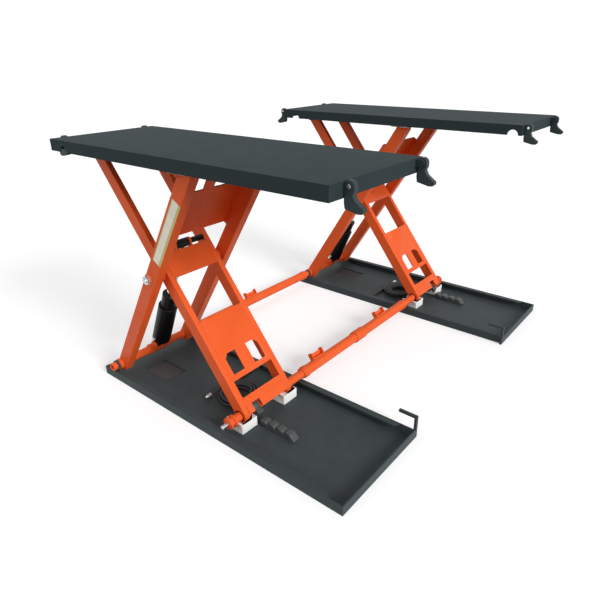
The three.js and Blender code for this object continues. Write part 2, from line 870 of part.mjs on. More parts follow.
// Route of the hose: straight from the boss on the rail, round a flat two layer coil, then down
// to its coupling on the tray floor
function hoseRoute() {
  const floor = trayPlate + hoseRadius + hoseLift;
  const upper = floor + layerRise;
  const innerRadius = coilOuterRadius - coilPitch * coilTurnsALayer;
  const steps = Math.round(coilTurnsALayer * loopSteps);
  const climb = loopSteps / 2;
  const at = (step, radius, z) => {
    const angle = Math.PI - (step / loopSteps) * 2 * Math.PI;
    const x = coilMiddle + radius * Math.cos(angle);
    return new THREE.Vector3(x, coilOffset + radius * Math.sin(angle), z);
  };
  const points = [new THREE.Vector3(hoseLine, -halfTray + flangeWidth + seatGap, floor)];
  for (let i = 0; i <= steps; i += 1) {
    points.push(at(i, coilOuterRadius - (coilPitch * i) / loopSteps, floor));
  }
  for (let i = 1; i < climb; i += 1) {
    const share = (1 - Math.cos((Math.PI * i) / climb)) / 2;
    points.push(at(steps + i, innerRadius, floor + layerRise * share));
  }
  for (let i = 0; i <= steps; i += 1) {
    points.push(at(steps + climb + i, innerRadius + (coilPitch * i) / loopSteps, upper));
  }
  const dropSteps = climb / 2;
  const drop = upper - couplingHeight();
  for (let i = 0; i <= dropSteps; i += 1) {
    const share = (1 - Math.cos((Math.PI * i) / dropSteps)) / 2;
    const y = coilOffset + endLevelRun + (endDropRun * i) / dropSteps;
    points.push(new THREE.Vector3(hoseLine, y, upper - drop * share));
  }
  points.push(new THREE.Vector3(hoseLine, couplingStart, couplingHeight()));
  return points;
}

// Height of the axis of the coupling that lies on the tray floor
function couplingHeight() {
  return trayPlate + seatGap + couplingRadius;
}

// Coupling on the hose's end: a hexagon and a round nose
function hoseCoupling() {
  const z = couplingHeight();
  const y0 = couplingStart + seatGap;
  const y1 = y0 + couplingLength;
  return join(
    roundBar(hoseLine, z, couplingRadius, y0, y1, hexSides),
    roundBar(hoseLine, z, noseRadius, y1 - couplingLength / 2, y1 + noseLength, smallSteps),
  );
}

// One unbroken tube along the route, six sided, as a closed mesh
function hose() {
  const route = hoseRoute();
  const sides = hoseSides;
  const positions = [];
  const index = [];
  route.forEach((point, i) => {
    const before = route[Math.max(i - 1, 0)];
    const after = route[Math.min(i + 1, route.length - 1)];
    const along = after.clone().sub(before).normalize();
    const across = new THREE.Vector3(0, 0, 1).cross(along).normalize();
    const up = along.clone().cross(across);
    for (let k = 0; k < sides; k += 1) {
      const angle = (2 * Math.PI * k) / sides;
      const spot = point
        .clone()
        .addScaledVector(across, hoseRadius * Math.cos(angle))
        .addScaledVector(up, hoseRadius * Math.sin(angle));
      positions.push(spot.x, spot.y, spot.z);
    }
  });
  for (let i = 0; i + 1 < route.length; i += 1) {
    for (let k = 0; k < sides; k += 1) {
      const a = i * sides + k;
      const b = i * sides + ((k + 1) % sides);
      index.push(a, b, a + sides, b, b + sides, a + sides);
    }
  }
  const last = (route.length - 1) * sides;
  for (let k = 1; k + 1 < sides; k += 1) {
    index.push(0, k + 1, k, last, last + k, last + k + 1);
  }
  const geometry = new THREE.BufferGeometry();
  geometry.setAttribute("position", new THREE.Float32BufferAttribute(positions, 3));
  geometry.setIndex(index);
  return solid(geometry);
}

// Prints the least gap between the hose and itself, and its length
function measureHose() {
  const route = hoseRoute();
  let length = 0;
  const marks = route.map((point, i) => {
    if (i) length += point.distanceTo(route[i - 1]);
    return length;
  });
  let least = Infinity;
  route.forEach((point, i) => {
    route.slice(i + 1).forEach((other, j) => {
      if (marks[i + 1 + j] - marks[i] > hoseNearSpan) {
        least = Math.min(least, point.distanceTo(other));
      }
    });
  });
  const gap = (least - 2 * hoseRadius).toFixed(2);
  console.log(`hose ${length.toFixed(0)} mm long, least gap to itself ${gap} mm`);
}

// One unit, with its outer side towards positive y
function unit(prefix) {
  const group = new THREE.Group();
  group.position.y = unitMiddle;
  const add = (name, manifold, material, frame = group) =>
    place(frame, `${prefix}_${name}`, manifold, material);

  add("base_tray", tray(), dark);
  add("lock_rack", lockRack(), dark);

  const outer = armFrame(-raised);
  const inner = armFrame(innerRaised);
  group.add(outer, inner);
  [-1, 1].forEach((side) => {
    const spot = side > 0 ? "outside" : "inside";
    add(`outer_arm_${spot}`, outerArm(side), orange, outer);
    add(`inner_arm_${spot}`, innerArm(side), orange, inner);
    add(`centre_pin_${spot}`, centrePin(side), zinc, outer);
    add(`lower_block_${spot}`, lowerBlock(side), white);
    add(`upper_pad_${spot}`, upperPad(side), white);
  });
  add("outer_cross_plate", crossPlate(), orange, outer);
  add("inner_panel", innerPanel(), orange, inner);
  add("inner_band", innerBand(), orange, inner);
  add("base_pivot_shaft", baseShaft(), orange);
  add("lower_shaft", lowerShaft(), orange);
  add("deck", deck(), dark);
  lugPlaces().forEach((lug) => add(`ramp_lug_${lug.name}`, rampLug(lug), dark));
  add("lock_pawl", lockPawl(), zinc);

  const foot = new THREE.Vector3(
    footAlong * Math.cos(raised) + footBelow * Math.sin(raised),
    0,
    pivotHeight + footAlong * Math.sin(raised) - footBelow * Math.cos(raised),
  );
  const eye = new THREE.Vector3(
    centreX - eyeAlong * Math.cos(innerRaised) + eyeAbove * Math.sin(innerRaised),
    0,
    centreZ + eyeAlong * Math.sin(innerRaised) + eyeAbove * Math.cos(innerRaised),
  );
  add("cylinder_foot", cylinderFoot(foot), orange);
  const cylinder = new THREE.Group();
  cylinder.position.copy(foot);
  cylinder.rotation.y = -Math.atan2(eye.z - foot.z, eye.x - foot.x);
  group.add(cylinder);
  add("cylinder_barrel", barrel(), black, cylinder);
  add("cylinder_rod", rod(foot.distanceTo(eye)), chrome, cylinder);

  add("hose", hose(), black);
  add("hose_coupling", hoseCoupling(), zinc);
  return group;
}

// Cross tube along y between the units at x, with a collar at each end and small guides
function crossTube(x, guides) {
  const end = unitMiddle - tubeJointPlace - seatGap;
  const bar = roundBar(x, pivotHeight, shaftRadius, -end, end);
  const collars = [-1, 1].map((side) => {
    const a = side * (unitMiddle - tubeCollarStart);
    const b = side * (unitMiddle - tubeCollarStart - tubeCollarWidth);
    return roundBar(x, pivotHeight, tubeCollarRadius, Math.min(a, b), Math.max(a, b));
  });
  const tabs = guides.map((y) => {
    const foot = block(
      x - shaftRadius / 2,
      x + shaftRadius / 2 + guideHeight / 2,
      y,
      y + guideWidth,
      pivotHeight + shaftRadius - guideThickness,
      pivotHeight + shaftRadius + guideThickness / 2,
    );
    const lip = block(
      x + shaftRadius / 2 + guideHeight / 2 - guideThickness,
      x + shaftRadius / 2 + guideHeight / 2,
      y,
      y + guideWidth,
      pivotHeight + shaftRadius - guideThickness,
      pivotHeight + shaftRadius + guideHeight / 2,
    );
    return join(foot, lip);
  });
  return join(bar, ...collars, ...tabs);
}

// Square shouldered sleeve in the middle of the front tube
function tubeSleeve() {
  const body = roundBar(
    lowerShaftX,
    pivotHeight,
    sleeveRadius,
    -sleeveHalfLength,
    sleeveHalfLength,
    smallSteps,
  );
  const bore = roundBar(
    lowerShaftX,
    pivotHeight,
    shaftRadius + seatGap,
    -sleeveHalfLength - cutOverrun,
    sleeveHalfLength + cutOverrun,
  );
  return cut(body, bore);
}

measureHose();

const group = new THREE.Group();
const body = new THREE.Group();
body.position.x = -middleX;
group.add(body);
body.add(unit("right"));
const mirrored = new THREE.Group();
mirrored.scale.y = -1;
mirrored.add(unit("left"));
body.add(mirrored);
place(body, "front_cross_tube", crossTube(lowerShaftX, frontGuidePlaces), orange);
place(body, "front_tube_sleeve", tubeSleeve(), orange);
place(body, "rear_cross_tube", crossTube(0, [rearGuidePlace]), orange);

export default group;
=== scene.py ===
# Looks of the mid rise scissor car lift. Metres, +Z up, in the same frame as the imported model.
import json
import math
from functools import partial

import bmesh
import bpy
from mathutils import Matrix, Vector

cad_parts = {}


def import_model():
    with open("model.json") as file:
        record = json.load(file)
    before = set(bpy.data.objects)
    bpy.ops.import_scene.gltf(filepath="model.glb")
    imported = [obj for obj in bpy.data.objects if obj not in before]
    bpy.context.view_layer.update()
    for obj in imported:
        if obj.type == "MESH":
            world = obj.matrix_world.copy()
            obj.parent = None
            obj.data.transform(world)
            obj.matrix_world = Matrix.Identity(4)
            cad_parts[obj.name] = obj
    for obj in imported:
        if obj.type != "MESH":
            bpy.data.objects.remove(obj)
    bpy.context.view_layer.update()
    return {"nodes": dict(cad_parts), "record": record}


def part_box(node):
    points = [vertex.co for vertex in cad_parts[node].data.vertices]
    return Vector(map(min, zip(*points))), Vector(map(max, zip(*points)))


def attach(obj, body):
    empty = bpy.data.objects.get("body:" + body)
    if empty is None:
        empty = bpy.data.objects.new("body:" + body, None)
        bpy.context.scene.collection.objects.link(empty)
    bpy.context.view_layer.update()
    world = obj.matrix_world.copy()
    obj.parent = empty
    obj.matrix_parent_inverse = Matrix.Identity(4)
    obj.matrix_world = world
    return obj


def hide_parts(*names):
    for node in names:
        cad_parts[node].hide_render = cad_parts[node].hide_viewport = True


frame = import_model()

MM = 0.001
ACROSS = Vector((0, 1, 0))
SIDES = (("left", -1), ("right", 1))
ARMS = (("outside", 1), ("inside", -1))
NODE_SLOTS = {row["node"]: row["material_slot"] for row in frame["record"]["subparts"]}

# Camera, solved from the corners of both platforms and both trays
CAMERA_PLACE = (1.5403, -2.1110, 1.4459)
CAMERA_YAW = 129.678
CAMERA_PITCH = 25.209
CAMERA_ROLL = -0.788
FOCAL_PIXELS = 522.34
PHOTO_WIDTH_PIXELS = 600
SENSOR_WIDTH = 36

# Edges of the pieces made here
CHAMFER = 1.5 * MM
TURNED_EDGE = CHAMFER / 3
STUB_EDGE = CHAMFER / 4
PLATE_EDGE = CHAMFER / 2
ARM_EDGE = 3.5 * MM
ARM_EDGE_SEGMENTS = 3
PIECE_EDGE_SEGMENTS = 2

# Base shaft and lower shaft: places along them are outward from the unit's middle
SHAFT_RADIUS = 20 * MM
SHAFT_BORE = 14 * MM
SHAFT_INNER_END = -247 * MM
SHAFT_OUTER_END = 266 * MM
HOLLOW_START = 192 * MM
COLLAR_RADIUS = 27 * MM
BASE_COLLARS = ((-227.3 * MM, -215.3 * MM), (215.3 * MM, 227.3 * MM))
LOWER_COLLARS = ((179 * MM, 191 * MM), (202.5 * MM, 214.5 * MM))
LOWER_SHAFT_END = 216 * MM
STUB_RADIUS = 10 * MM
STUB_END = 246 * MM

# Cross tubes between the units and their hose guides
TUBE_RADIUS = 26 * MM
TUBE_COLLAR_RADIUS = 29 * MM
TUBE_COLLAR = (450 * MM, 477 * MM)
TUBE_SHOULDER = 488 * MM
TUBE_END = 506.7 * MM
SLEEVE_RADIUS = 31 * MM
SLEEVE_HALF = 42 * MM
GUIDE_HALF_LENGTH = 43 * MM
GUIDE_HALF_DEPTH = 13 * MM
GUIDE_PLATE = 5 * MM
GUIDE_HEIGHT = 32 * MM
GUIDE_WEB_HEIGHT = 24 * MM
GUIDE_TILT = math.radians(35)
FRONT_GUIDES = (-341 * MM, 241 * MM)
REAR_GUIDES = (-25 * MM,)

# Arms: places are along the arm from the centre pin, across the unit, and above the arm's axis
OUTER_ARM = (171 * MM, 215 * MM)
OUTER_ARM_DEPTH = (-42 * MM, 22 * MM)
OUTER_LOWER = 640 * MM
INNER_ARM = (120 * MM, 147 * MM)
INNER_ARM_DEPTH = (-20 * MM, 42 * MM)
INNER_LOWER = 686 * MM
UPPER_SHARE = 0.879
TOP_RADIUS = 17 * MM
TOP_PIN_RADIUS = 9 * MM
TOP_PIN_END = 246 * MM
ARM_EYE_RADIUS = 30 * MM
PIN_BOSS_RADIUS = 25 * MM
PIN_BOSS_HEIGHT = 3 * MM
INNER_BOSS_RADIUS = 26 * MM
INNER_BOSS_GAP = 0.6 * MM

# Plates between the arms
PLATE_LEVEL = 42 * MM
PLATE_THICKNESS = 7 * MM
PLATE_GAP = 0.3 * MM
PANEL_HALF = 119.7 * MM
PANEL_SPAN = (256 * MM, 662 * MM)
BAND_SPAN = (-70 * MM, 43 * MM)
APRON_SPAN = (661 * MM, 700 * MM)
APRON_PARTS = ((-PANEL_HALF, 42 * MM), (90 * MM, PANEL_HALF))
BAND_MIDDLE_SPAN = (-69.5 * MM, -20 * MM)
BAND_MIDDLE_PARTS = ((-37 * MM, 37 * MM),)
CROSS_PLATE_SPAN = (170 * MM, 405 * MM)
CROSS_PLATE_HALF = 185 * MM
CROSS_TAB_END = 450 * MM
CROSS_TAB_HALF = 27 * MM

# Weld beads
BEAD_RADIUS = 2.2 * MM
BEAD_STEP = 3.5 * MM
BEAD_SIDES = 8
BEAD_LEAST_STEPS = 4
BEAD_RIPPLE_SHARE = 0.16
BEAD_END_SHARE = 0.5

# Hydraulic cylinder: its foot is placed from the base pivot along and below the outer arms, its eye
# from the centre pin along and above the inner arms, and the rest along its axis from the foot
FOOT_ALONG = 60 * MM
FOOT_BELOW = 12 * MM
EYE_ALONG = 95 * MM
EYE_ABOVE = 28 * MM
BARREL_START = 26 * MM
BARREL_LENGTH = 340 * MM
BARREL_RADIUS = 46 * MM
BARREL_EDGE = 4 * MM
BORE_START = 52 * MM
GLAND_RADIUS = 37.5 * MM
GLAND_LENGTH = 78 * MM
GLAND_LIP = 18 * MM
FOOT_EYE_RADIUS = 19 * MM
FOOT_EYE_HALF = 34 * MM
PIN_BORE = 11.4 * MM
PIN_RADIUS = 11 * MM
ROD_RADIUS = 20 * MM
ROD_BORE = 20.5 * MM
ROD_INSIDE_SHARE = 0.25
ROD_EYE_HALF = 30 * MM
ROD_PIN_HALF = 35.7 * MM
HEAD_BAR_RADIUS = 13 * MM
HEAD_BAR_START = 40 * MM
PORT_PLACE = 45 * MM
PORT_RADIUS = 9 * MM
PORT_END = 58 * MM
PORT_HEXAGON_SHARE = 2 / 3
PORT_NECK_START_SHARE = 0.5
PORT_NECK_SHARE = 0.7
PORT_MOUTH_SHARE = 0.6

# Label strip on the outer arm
LABEL_SPAN = (116 * MM, 440 * MM)
LABEL_ACROSS = (-40 * MM, 10 * MM)
LABEL_EDGE = 12 * MM
LABEL_RIM = 5 * MM
LABEL_THICKNESS = 0.6 * MM

# Ramp lugs: places are out from the platform's end and down from its top
LUG_THICKNESS = 20 * MM
LUG_PIN = (19 * MM, 13 * MM)
LUG_BOSS_RADIUS = 17 * MM
LUG_EAR_REACH = 30 * MM
LUG_BOLT_RADIUS = 6 * MM
LUG_BOLT_HEAD = 3 * MM
LUG_FOOT = (
    (36 * MM, 26 * MM),
    (31 * MM, 36 * MM),
    (38 * MM, 50 * MM),
    (60 * MM, 66 * MM),
    (67 * MM, 70 * MM),
    (67 * MM, 79 * MM),
    (61 * MM, 85 * MM),
    (46 * MM, 86 * MM),
    (5 * MM, 77 * MM),
    (2 * MM, 60 * MM),
)

# Hose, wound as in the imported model
TRAY_FLOOR = 6 * MM
HOSE_RADIUS = 6.5 * MM
HOSE_LIFT = 0.8 * MM
HOSE_START = -229.7 * MM
HOSE_RINGS = 4
STRAIGHT_STEPS = 10
COIL_FROM_BASE = 598 * MM
COIL_OFFSET = -12 * MM
COIL_OUTER_RADIUS = 96 * MM
COIL_PITCH = 15.7 * MM
COIL_TURNS = 2.75
LAYER_RISE = 14.6 * MM
END_LEVEL_RUN = 32 * MM
END_DROP_RUN = 44 * MM
COUPLING_AXIS = 18.3 * MM
LOOP_STEPS = 48

# Reliefs of the finishes, and heights above the floor at which their dust ends
PEEL_DEPTH = 0.35 * MM
WAVE_DEPTH = 0.6 * MM
WRINKLE_DEPTH = 0.35 * MM
METAL_LINE_DEPTH = 0.15 * MM
NYLON_LINE_DEPTH = 0.3 * MM
RUBBER_DEPTH = 0.25 * MM
FRAME_DUST_HEIGHT = 120 * MM
TRAY_DUST_HEIGHT = 30 * MM
CYLINDER_DUST_HEIGHT = 350 * MM

# Levels between which most of a noise texture lies, and between which dust sets in
NOISE_LOW = 0.3
NOISE_HIGH = 0.7
DUST_LOW = 0.35
DUST_HIGH = 0.75

# Floor, surroundings and lamps
FLOOR_REACH = 60
FLOOR_DROP = 0.5 * MM
FLOOR_BOUNCE = 0.34
FLOOR_SEEN = 0.80
FLOOR_GLOW = 0.40
COVER_MARGIN = 20 * MM
# Share of the floor's colour left under the trays: painted shade
TRAY_SHADE_SHARE = 0.3
WORLD_AMBIENT = 0.42
WORLD_SEEN = 1.0
WHITE = (1, 1, 1)
LAMPS = {
    "key": {"direction": (-0.84, 0.10, -0.41), "strength": 2.55, "angle": 24},
    "fill": {"direction": (0.30, 0.85, -0.40), "strength": 0.6, "angle": 60},
}

# Turning and shading
SEGMENTS = 56
HEXAGON = 6
ARC_STEPS = 12
EDGE_ANGLE = math.radians(30)
FLAT_ANGLE = math.radians(1)
WELD_DISTANCE = 0.02 * MM
NODE_EDGE = 0.9 * MM
NODE_EDGE_SEGMENTS = 2
SHEET_EDGE = 2.4 * MM
SHEET_EDGE_SEGMENTS = 3


def middle(node):
    """Middle of a node's box."""
    low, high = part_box(node)
    return (low + high) / 2


def flat(point):
    """The point moved to y = 0."""
    return Vector((point.x, 0, point.z))


class Unit:
    """Places in one unit: x along the decks, v outward from the unit's middle, z up."""

    def __init__(self, side, sign):
        self.side = side
        self.sign = sign
        self.middle_y = abs(middle(self.name("inner_panel")).y)
        self.outward = Vector((0, sign, 0))
        self.base = flat(middle(self.name("base_pivot_shaft")))
        self.centre = flat(middle(self.name("centre_pin_outside")))
        self.shaft = flat(middle(self.name("lower_shaft")))
        self.along_outer = (self.centre - self.base).normalized()
        self.along_inner = (self.shaft - self.centre).normalized()
        self.above_outer = Vector((-self.along_outer.z, 0, self.along_outer.x))
        self.above_inner = Vector((-self.along_inner.z, 0, self.along_inner.x))
        self.foot = self.base + self.along_outer * FOOT_ALONG - self.above_outer * FOOT_BELOW
        self.eye = self.centre - self.along_inner * EYE_ALONG + self.above_inner * EYE_ABOVE
        self.reach = (self.eye - self.foot).length
        self.cylinder_axis = (self.eye - self.foot).normalized()
        low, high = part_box(self.name("deck"))
        self.deck_top = high.z
        self.deck_ends = {1: high.x - LUG_EAR_REACH, -1: low.x + LUG_EAR_REACH}

    def name(self, piece):
        """The full name of one of this unit's pieces, nodes or bodies."""
        return f"{self.side}_{piece}"

    def world(self, point, v):
        """The place at x and z of a point and v outward from the unit's middle."""
        return Vector((point.x, self.sign * (self.middle_y + v), point.z))

    def on_inner(self, s, v, n):
        """A place s along the inner arms from the centre pin and n above their axis."""
        return self.world(self.centre + self.along_inner * s + self.above_inner * n, v)

    def on_outer(self, s, v, n):
        """A place s along the outer arms from the centre pin and n above their axis."""
        return self.world(self.centre + self.along_outer * s + self.above_outer * n, v)

    def beyond_deck(self, sign, out, v, drop):
        """A place out from the platform's front or rear end and down from its top."""
        point = Vector((self.deck_ends[sign] + sign * out, 0, self.deck_top - drop))
        return self.world(point, v)

    def outward_place(self, node):
        """How far outward from the unit's middle the middle of a node lies."""
        return self.sign * middle(node).y - self.middle_y


# Node trees


def feed(tree, socket, value):
    """Sets a socket to a number or colour, or links the output of another node to it."""
    if isinstance(value, bpy.types.NodeSocket):
        tree.links.new(value, socket)
    elif isinstance(value, tuple):
        socket.default_value = (*value, 1)
    else:
        socket.default_value = value


def calculate(tree, operation, *values):
    """Output of a math node that takes sockets and numbers."""
    node = tree.nodes.new("ShaderNodeMath")
    node.operation = operation
    for socket, value in zip(node.inputs, values):
        feed(tree, socket, value)
    return node.outputs["Value"]


def spread(tree, value, low=0.0, high=1.0, out_low=0.0, out_high=1.0):
    """Maps the range from low to high of a value onto another range."""
    node = tree.nodes.new("ShaderNodeMapRange")
    node.inputs["From Min"].default_value = low
    node.inputs["From Max"].default_value = high
    node.inputs["To Min"].default_value = out_low
    node.inputs["To Max"].default_value = out_high
    feed(tree, node.inputs["Value"], value)
    return node.outputs["Result"]


def split_place(tree):
    """The x, y and z outputs of the place in the object."""
    place = tree.nodes.new("ShaderNodeTexCoord").outputs["Object"]
    split = tree.nodes.new("ShaderNodeSeparateXYZ")
    feed(tree, split.inputs["Vector"], place)
    return split.outputs


# Materials


def scaled(color, factor, lift=0.0):
    """A lighter or darker colour, each of its parts one at most."""
    return tuple(min(1.0, c * factor + lift) for c in color)


class Look:
    """A material and the building blocks of its finish: each one that colours it goes over the last."""

    def __init__(self, name, color, roughness, metallic=0.0):
        self.material = bpy.data.materials.new(name)
        self.material.use_nodes = True
        self.tree = self.material.node_tree
        self.shader = self.tree.nodes["Principled BSDF"]
        self.shader.inputs["Base Color"].default_value = (*color, 1)
        self.shader.inputs["Roughness"].default_value = roughness
        self.shader.inputs["Metallic"].default_value = metallic
        self.place = self.tree.nodes.new("ShaderNodeTexCoord").outputs["Object"]
        self.color = color
        self.relief = None

    def noise(self, scale, detail, stretch=None):
        """Output of a noise texture, its coordinates scaled by stretch if that is given."""
        source = self.place
        if stretch:
            mapping = self.tree.nodes.new("ShaderNodeMapping")
            mapping.inputs["Scale"].default_value = stretch
            feed(self.tree, mapping.inputs["Vector"], source)
            source = mapping.outputs["Vector"]
        node = self.tree.nodes.new("ShaderNodeTexNoise")
        node.inputs["Scale"].default_value = scale
        node.inputs["Detail"].default_value = detail
        feed(self.tree, node.inputs["Vector"], source)
        return node.outputs["Fac"]

    def blend(self, factor, first, second):
        """Makes the base colour a mix of two colours."""
        node = self.tree.nodes.new("ShaderNodeMix")
        node.data_type = "RGBA"
        feed(self.tree, node.inputs["Factor"], factor)
        feed(self.tree, node.inputs["A"], first)
        feed(self.tree, node.inputs["B"], second)
        self.color = node.outputs["Result"]
        feed(self.tree, self.shader.inputs["Base Color"], self.color)

    def mottle(self, share, scale):
        """The base colour wanders a little darker and lighter."""
        factor = spread(self.tree, self.noise(scale, detail=5), NOISE_LOW, NOISE_HIGH)
        self.blend(factor, scaled(self.color, 1 - share), scaled(self.color, 1 + share))

    def stain(self, color, scale, low, high, strength, stretch=None):
        """Patches of another colour where the noise is high."""
        patches = self.noise(scale, detail=6, stretch=stretch)
        factor = spread(self.tree, patches, low, high, out_high=strength)
        self.blend(factor, self.color, color)

    def dust(self, color, height, strength):
        """Pale dust that fades with height above the floor."""
        fade = spread(self.tree, split_place(self.tree)["Z"], low=height, high=0.0)
        patches = self.noise(scale=14, detail=6)
        patches = spread(self.tree, patches, DUST_LOW, DUST_HIGH, out_high=strength)
        self.blend(calculate(self.tree, "MULTIPLY", fade, patches), self.color, color)

    def gloss(self, low, high, scale, stretch=None):
        """Roughness varies between low and high."""
        wear = self.noise(scale, detail=4, stretch=stretch)
        value = spread(self.tree, wear, NOISE_LOW, NOISE_HIGH, low, high)
        feed(self.tree, self.shader.inputs["Roughness"], value)

    def bump(self, value, strength, depth):
        """Adds a relief on top of those that are there."""
        node = self.tree.nodes.new("ShaderNodeBump")
        node.inputs["Strength"].default_value = strength
        node.inputs["Distance"].default_value = depth
        feed(self.tree, node.inputs["Height"], value)
        if self.relief is not None:
            feed(self.tree, node.inputs["Normal"], self.relief)
        self.relief = node.outputs["Normal"]
        feed(self.tree, self.shader.inputs["Normal"], self.relief)

    def specular(self, level):
        """Sets how much the surface mirrors."""
        self.shader.inputs["Specular IOR Level"].default_value = level

    def coat(self, weight, roughness):
        """Adds a clear layer on top."""
        self.shader.inputs["Coat Weight"].default_value = weight
        self.shader.inputs["Coat Roughness"].default_value = roughness


def powder(name, color, roughness, mottle_share):
    """Smooth powder coat: fine orange peel over shallow waves."""
    look = Look(name, color, roughness)
    look.mottle(mottle_share, scale=3.5)
    look.gloss(low=roughness - 0.07, high=roughness + 0.09, scale=11)
    look.bump(look.noise(scale=420, detail=2), strength=0.16, depth=PEEL_DEPTH)
    look.bump(look.noise(scale=38, detail=3), strength=0.06, depth=WAVE_DEPTH)
    return look


def textured_powder(name, color, roughness, mottle_share):
    """Wrinkled powder coat, with faint scuffs along the decks and trays."""
    look = Look(name, color, roughness)
    look.mottle(mottle_share, scale=7)
    scuff = scaled(color, factor=1.6, lift=0.006)
    look.stain(scuff, scale=26, low=0.66, high=0.95, strength=0.10, stretch=(0.16, 1.0, 1.0))
    look.gloss(low=roughness - 0.02, high=roughness + 0.03, scale=14)
    look.bump(look.noise(scale=640, detail=2), strength=0.30, depth=WRINKLE_DEPTH)
    return look


def bare_metal(name, color, roughness, stretch):
    """Plated or ground steel with fine lines."""
    look = Look(name, color, roughness, metallic=1.0)
    look.mottle(share=0.12, scale=30)
    look.gloss(low=roughness - 0.08, high=roughness + 0.14, scale=60, stretch=stretch)
    lines = look.noise(scale=300, detail=2, stretch=stretch)
    look.bump(lines, strength=0.10, depth=METAL_LINE_DEPTH)
    return look


def orange_paint():
    look = powder("orange_powder", (0.82, 0.112, 0.020), roughness=0.42, mottle_share=0.04)
    look.specular(0.2)
    look.dust((0.55, 0.30, 0.22), FRAME_DUST_HEIGHT, strength=0.15)
    return look


def deck_paint():
    look = textured_powder("deck_powder", (0.031, 0.044, 0.047), roughness=0.62, mottle_share=0.02)
    look.specular(0.04)
    return look


def tray_paint():
    look = textured_powder("tray_powder", (0.044, 0.058, 0.062), roughness=0.56, mottle_share=0.08)
    look.specular(0.2)
    look.dust((0.12, 0.12, 0.11), TRAY_DUST_HEIGHT, strength=0.12)
    return look


def dark_steel():
    look = textured_powder("dark_steel", (0.030, 0.042, 0.044), roughness=0.50, mottle_share=0.08)
    look.specular(0.2)
    return look


def rack_steel():
    grey = (0.050, 0.056, 0.058)
    return textured_powder("worn_rack_steel", grey, roughness=0.42, mottle_share=0.2)


def zinc_steel():
    return bare_metal("zinc_plate", (0.60, 0.61, 0.62), roughness=0.32, stretch=(1.0, 6.0, 1.0))


def rod_chrome():
    return bare_metal("hard_chrome", (0.74, 0.75, 0.77), roughness=0.12, stretch=(1.0, 1.0, 8.0))


def cylinder_paint():
    look = powder("cylinder_black", (0.005, 0.005, 0.005), roughness=0.34, mottle_share=0.25)
    look.specular(0.15)
    look.dust((0.05, 0.045, 0.04), CYLINDER_DUST_HEIGHT, strength=0.12)
    return look


def slide_plastic():
    look = Look("white_nylon", (0.88, 0.88, 0.86), roughness=0.46)
    look.mottle(share=0.03, scale=20)
    look.stain((0.45, 0.43, 0.40), scale=30, low=0.62, high=0.9, strength=0.35)
    lines = look.noise(scale=220, detail=2, stretch=(1.0, 1.0, 7.0))
    look.bump(lines, strength=0.18, depth=NYLON_LINE_DEPTH)
    return look


def hose_rubber():
    look = Look("hose_rubber", (0.016, 0.016, 0.017), roughness=0.58)
    look.mottle(share=0.3, scale=45)
    look.stain((0.08, 0.075, 0.07), scale=60, low=0.6, high=0.85, strength=0.4)
    look.bump(look.noise(scale=900, detail=2), strength=0.35, depth=RUBBER_DEPTH)
    return look


def label_film(name, color, mottle_share):
    """Bare film with a glossy top."""
    look = Look(name, color, roughness=0.35)
    look.mottle(mottle_share, scale=25)
    look.coat(weight=0.4, roughness=0.2)
    return look


LOOKS = {
    "orange_paint": orange_paint(),
    "deck_paint": deck_paint(),
    "tray_paint": tray_paint(),
    "dark_steel": dark_steel(),
    "rack_steel": rack_steel(),
    "zinc_steel": zinc_steel(),
    "rod_chrome": rod_chrome(),
    "cylinder_paint": cylinder_paint(),
    "slide_plastic": slide_plastic(),
    "hose_rubber": hose_rubber(),
    "label_cream": label_film("label_cream", (0.90, 0.84, 0.68), mottle_share=0.05),
    "label_olive": label_film("label_olive", (0.55, 0.50, 0.17), mottle_share=0.07),
}


# Making pieces


def dress(piece, look):
    """Gives a piece this material and no other."""
    piece.data.materials.clear()
    piece.data.materials.append(LOOKS[look].material)


def finish_piece(piece, body, look, replaced=()):
    """Gives a piece its material and its body, and hides the nodes that it stands for."""
    dress(piece, look)
    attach(piece, body)
    if replaced:
        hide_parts(*replaced)


def mesh_piece(name, mesh):
    """Makes an object from a mesh, with its faces pointing out."""
    data = bpy.data.meshes.new(name)
    bmesh.ops.recalc_face_normals(mesh, faces=mesh.faces)
    mesh.to_mesh(data)
    mesh.free()
    piece = bpy.data.objects.new(name, data)
    bpy.context.scene.collection.objects.link(piece)
    return piece


def smooth(piece):
    """Shades all faces of a piece smooth."""
    for face in piece.data.polygons:
        face.use_smooth = True


def round_edges(piece, radius, segments):
    """Softens the edges sharper than the edge angle and keeps flat faces flat."""
    bevel = piece.modifiers.new("edges", "BEVEL")
    bevel.width = radius
    bevel.segments = segments
    bevel.limit_method = "ANGLE"
    bevel.angle_limit = EDGE_ANGLE
    bevel.harden_normals = True
    smooth(piece)


def add_piece(name, mesh, body, look, edge, replaced=(), segments=PIECE_EDGE_SEGMENTS):
    """Makes a finished piece with soft edges from a mesh."""
    piece = mesh_piece(name, mesh)
    round_edges(piece, edge, segments)
    finish_piece(piece, body, look, replaced)


def square_to(direction):
    """Two directions at right angles to a direction and to each other."""
    side = direction.orthogonal().normalized()
    return side, direction.cross(side).normalized()


def ring_of(mesh, centre, side, up, radius, count):
    """Adds the points of a regular ring."""
    ring = []
    for i in range(count):
        angle = 2 * math.pi * i / count
        offset = side * (radius * math.cos(angle)) + up * (radius * math.sin(angle))
        ring.append(mesh.verts.new(centre + offset))
    return ring


def join_rings(mesh, first, second):
    """Adds the faces between two rings, of which one can be a single point."""
    count = max(len(first), len(second))
    for i in range(count):
        following = (i + 1) % count
        if len(first) == 1:
            mesh.faces.new((first[0], second[following], second[i]))
        elif len(second) == 1:
            mesh.faces.new((first[i], first[following], second[0]))
        else:
            mesh.faces.new((first[i], first[following], second[following], second[i]))


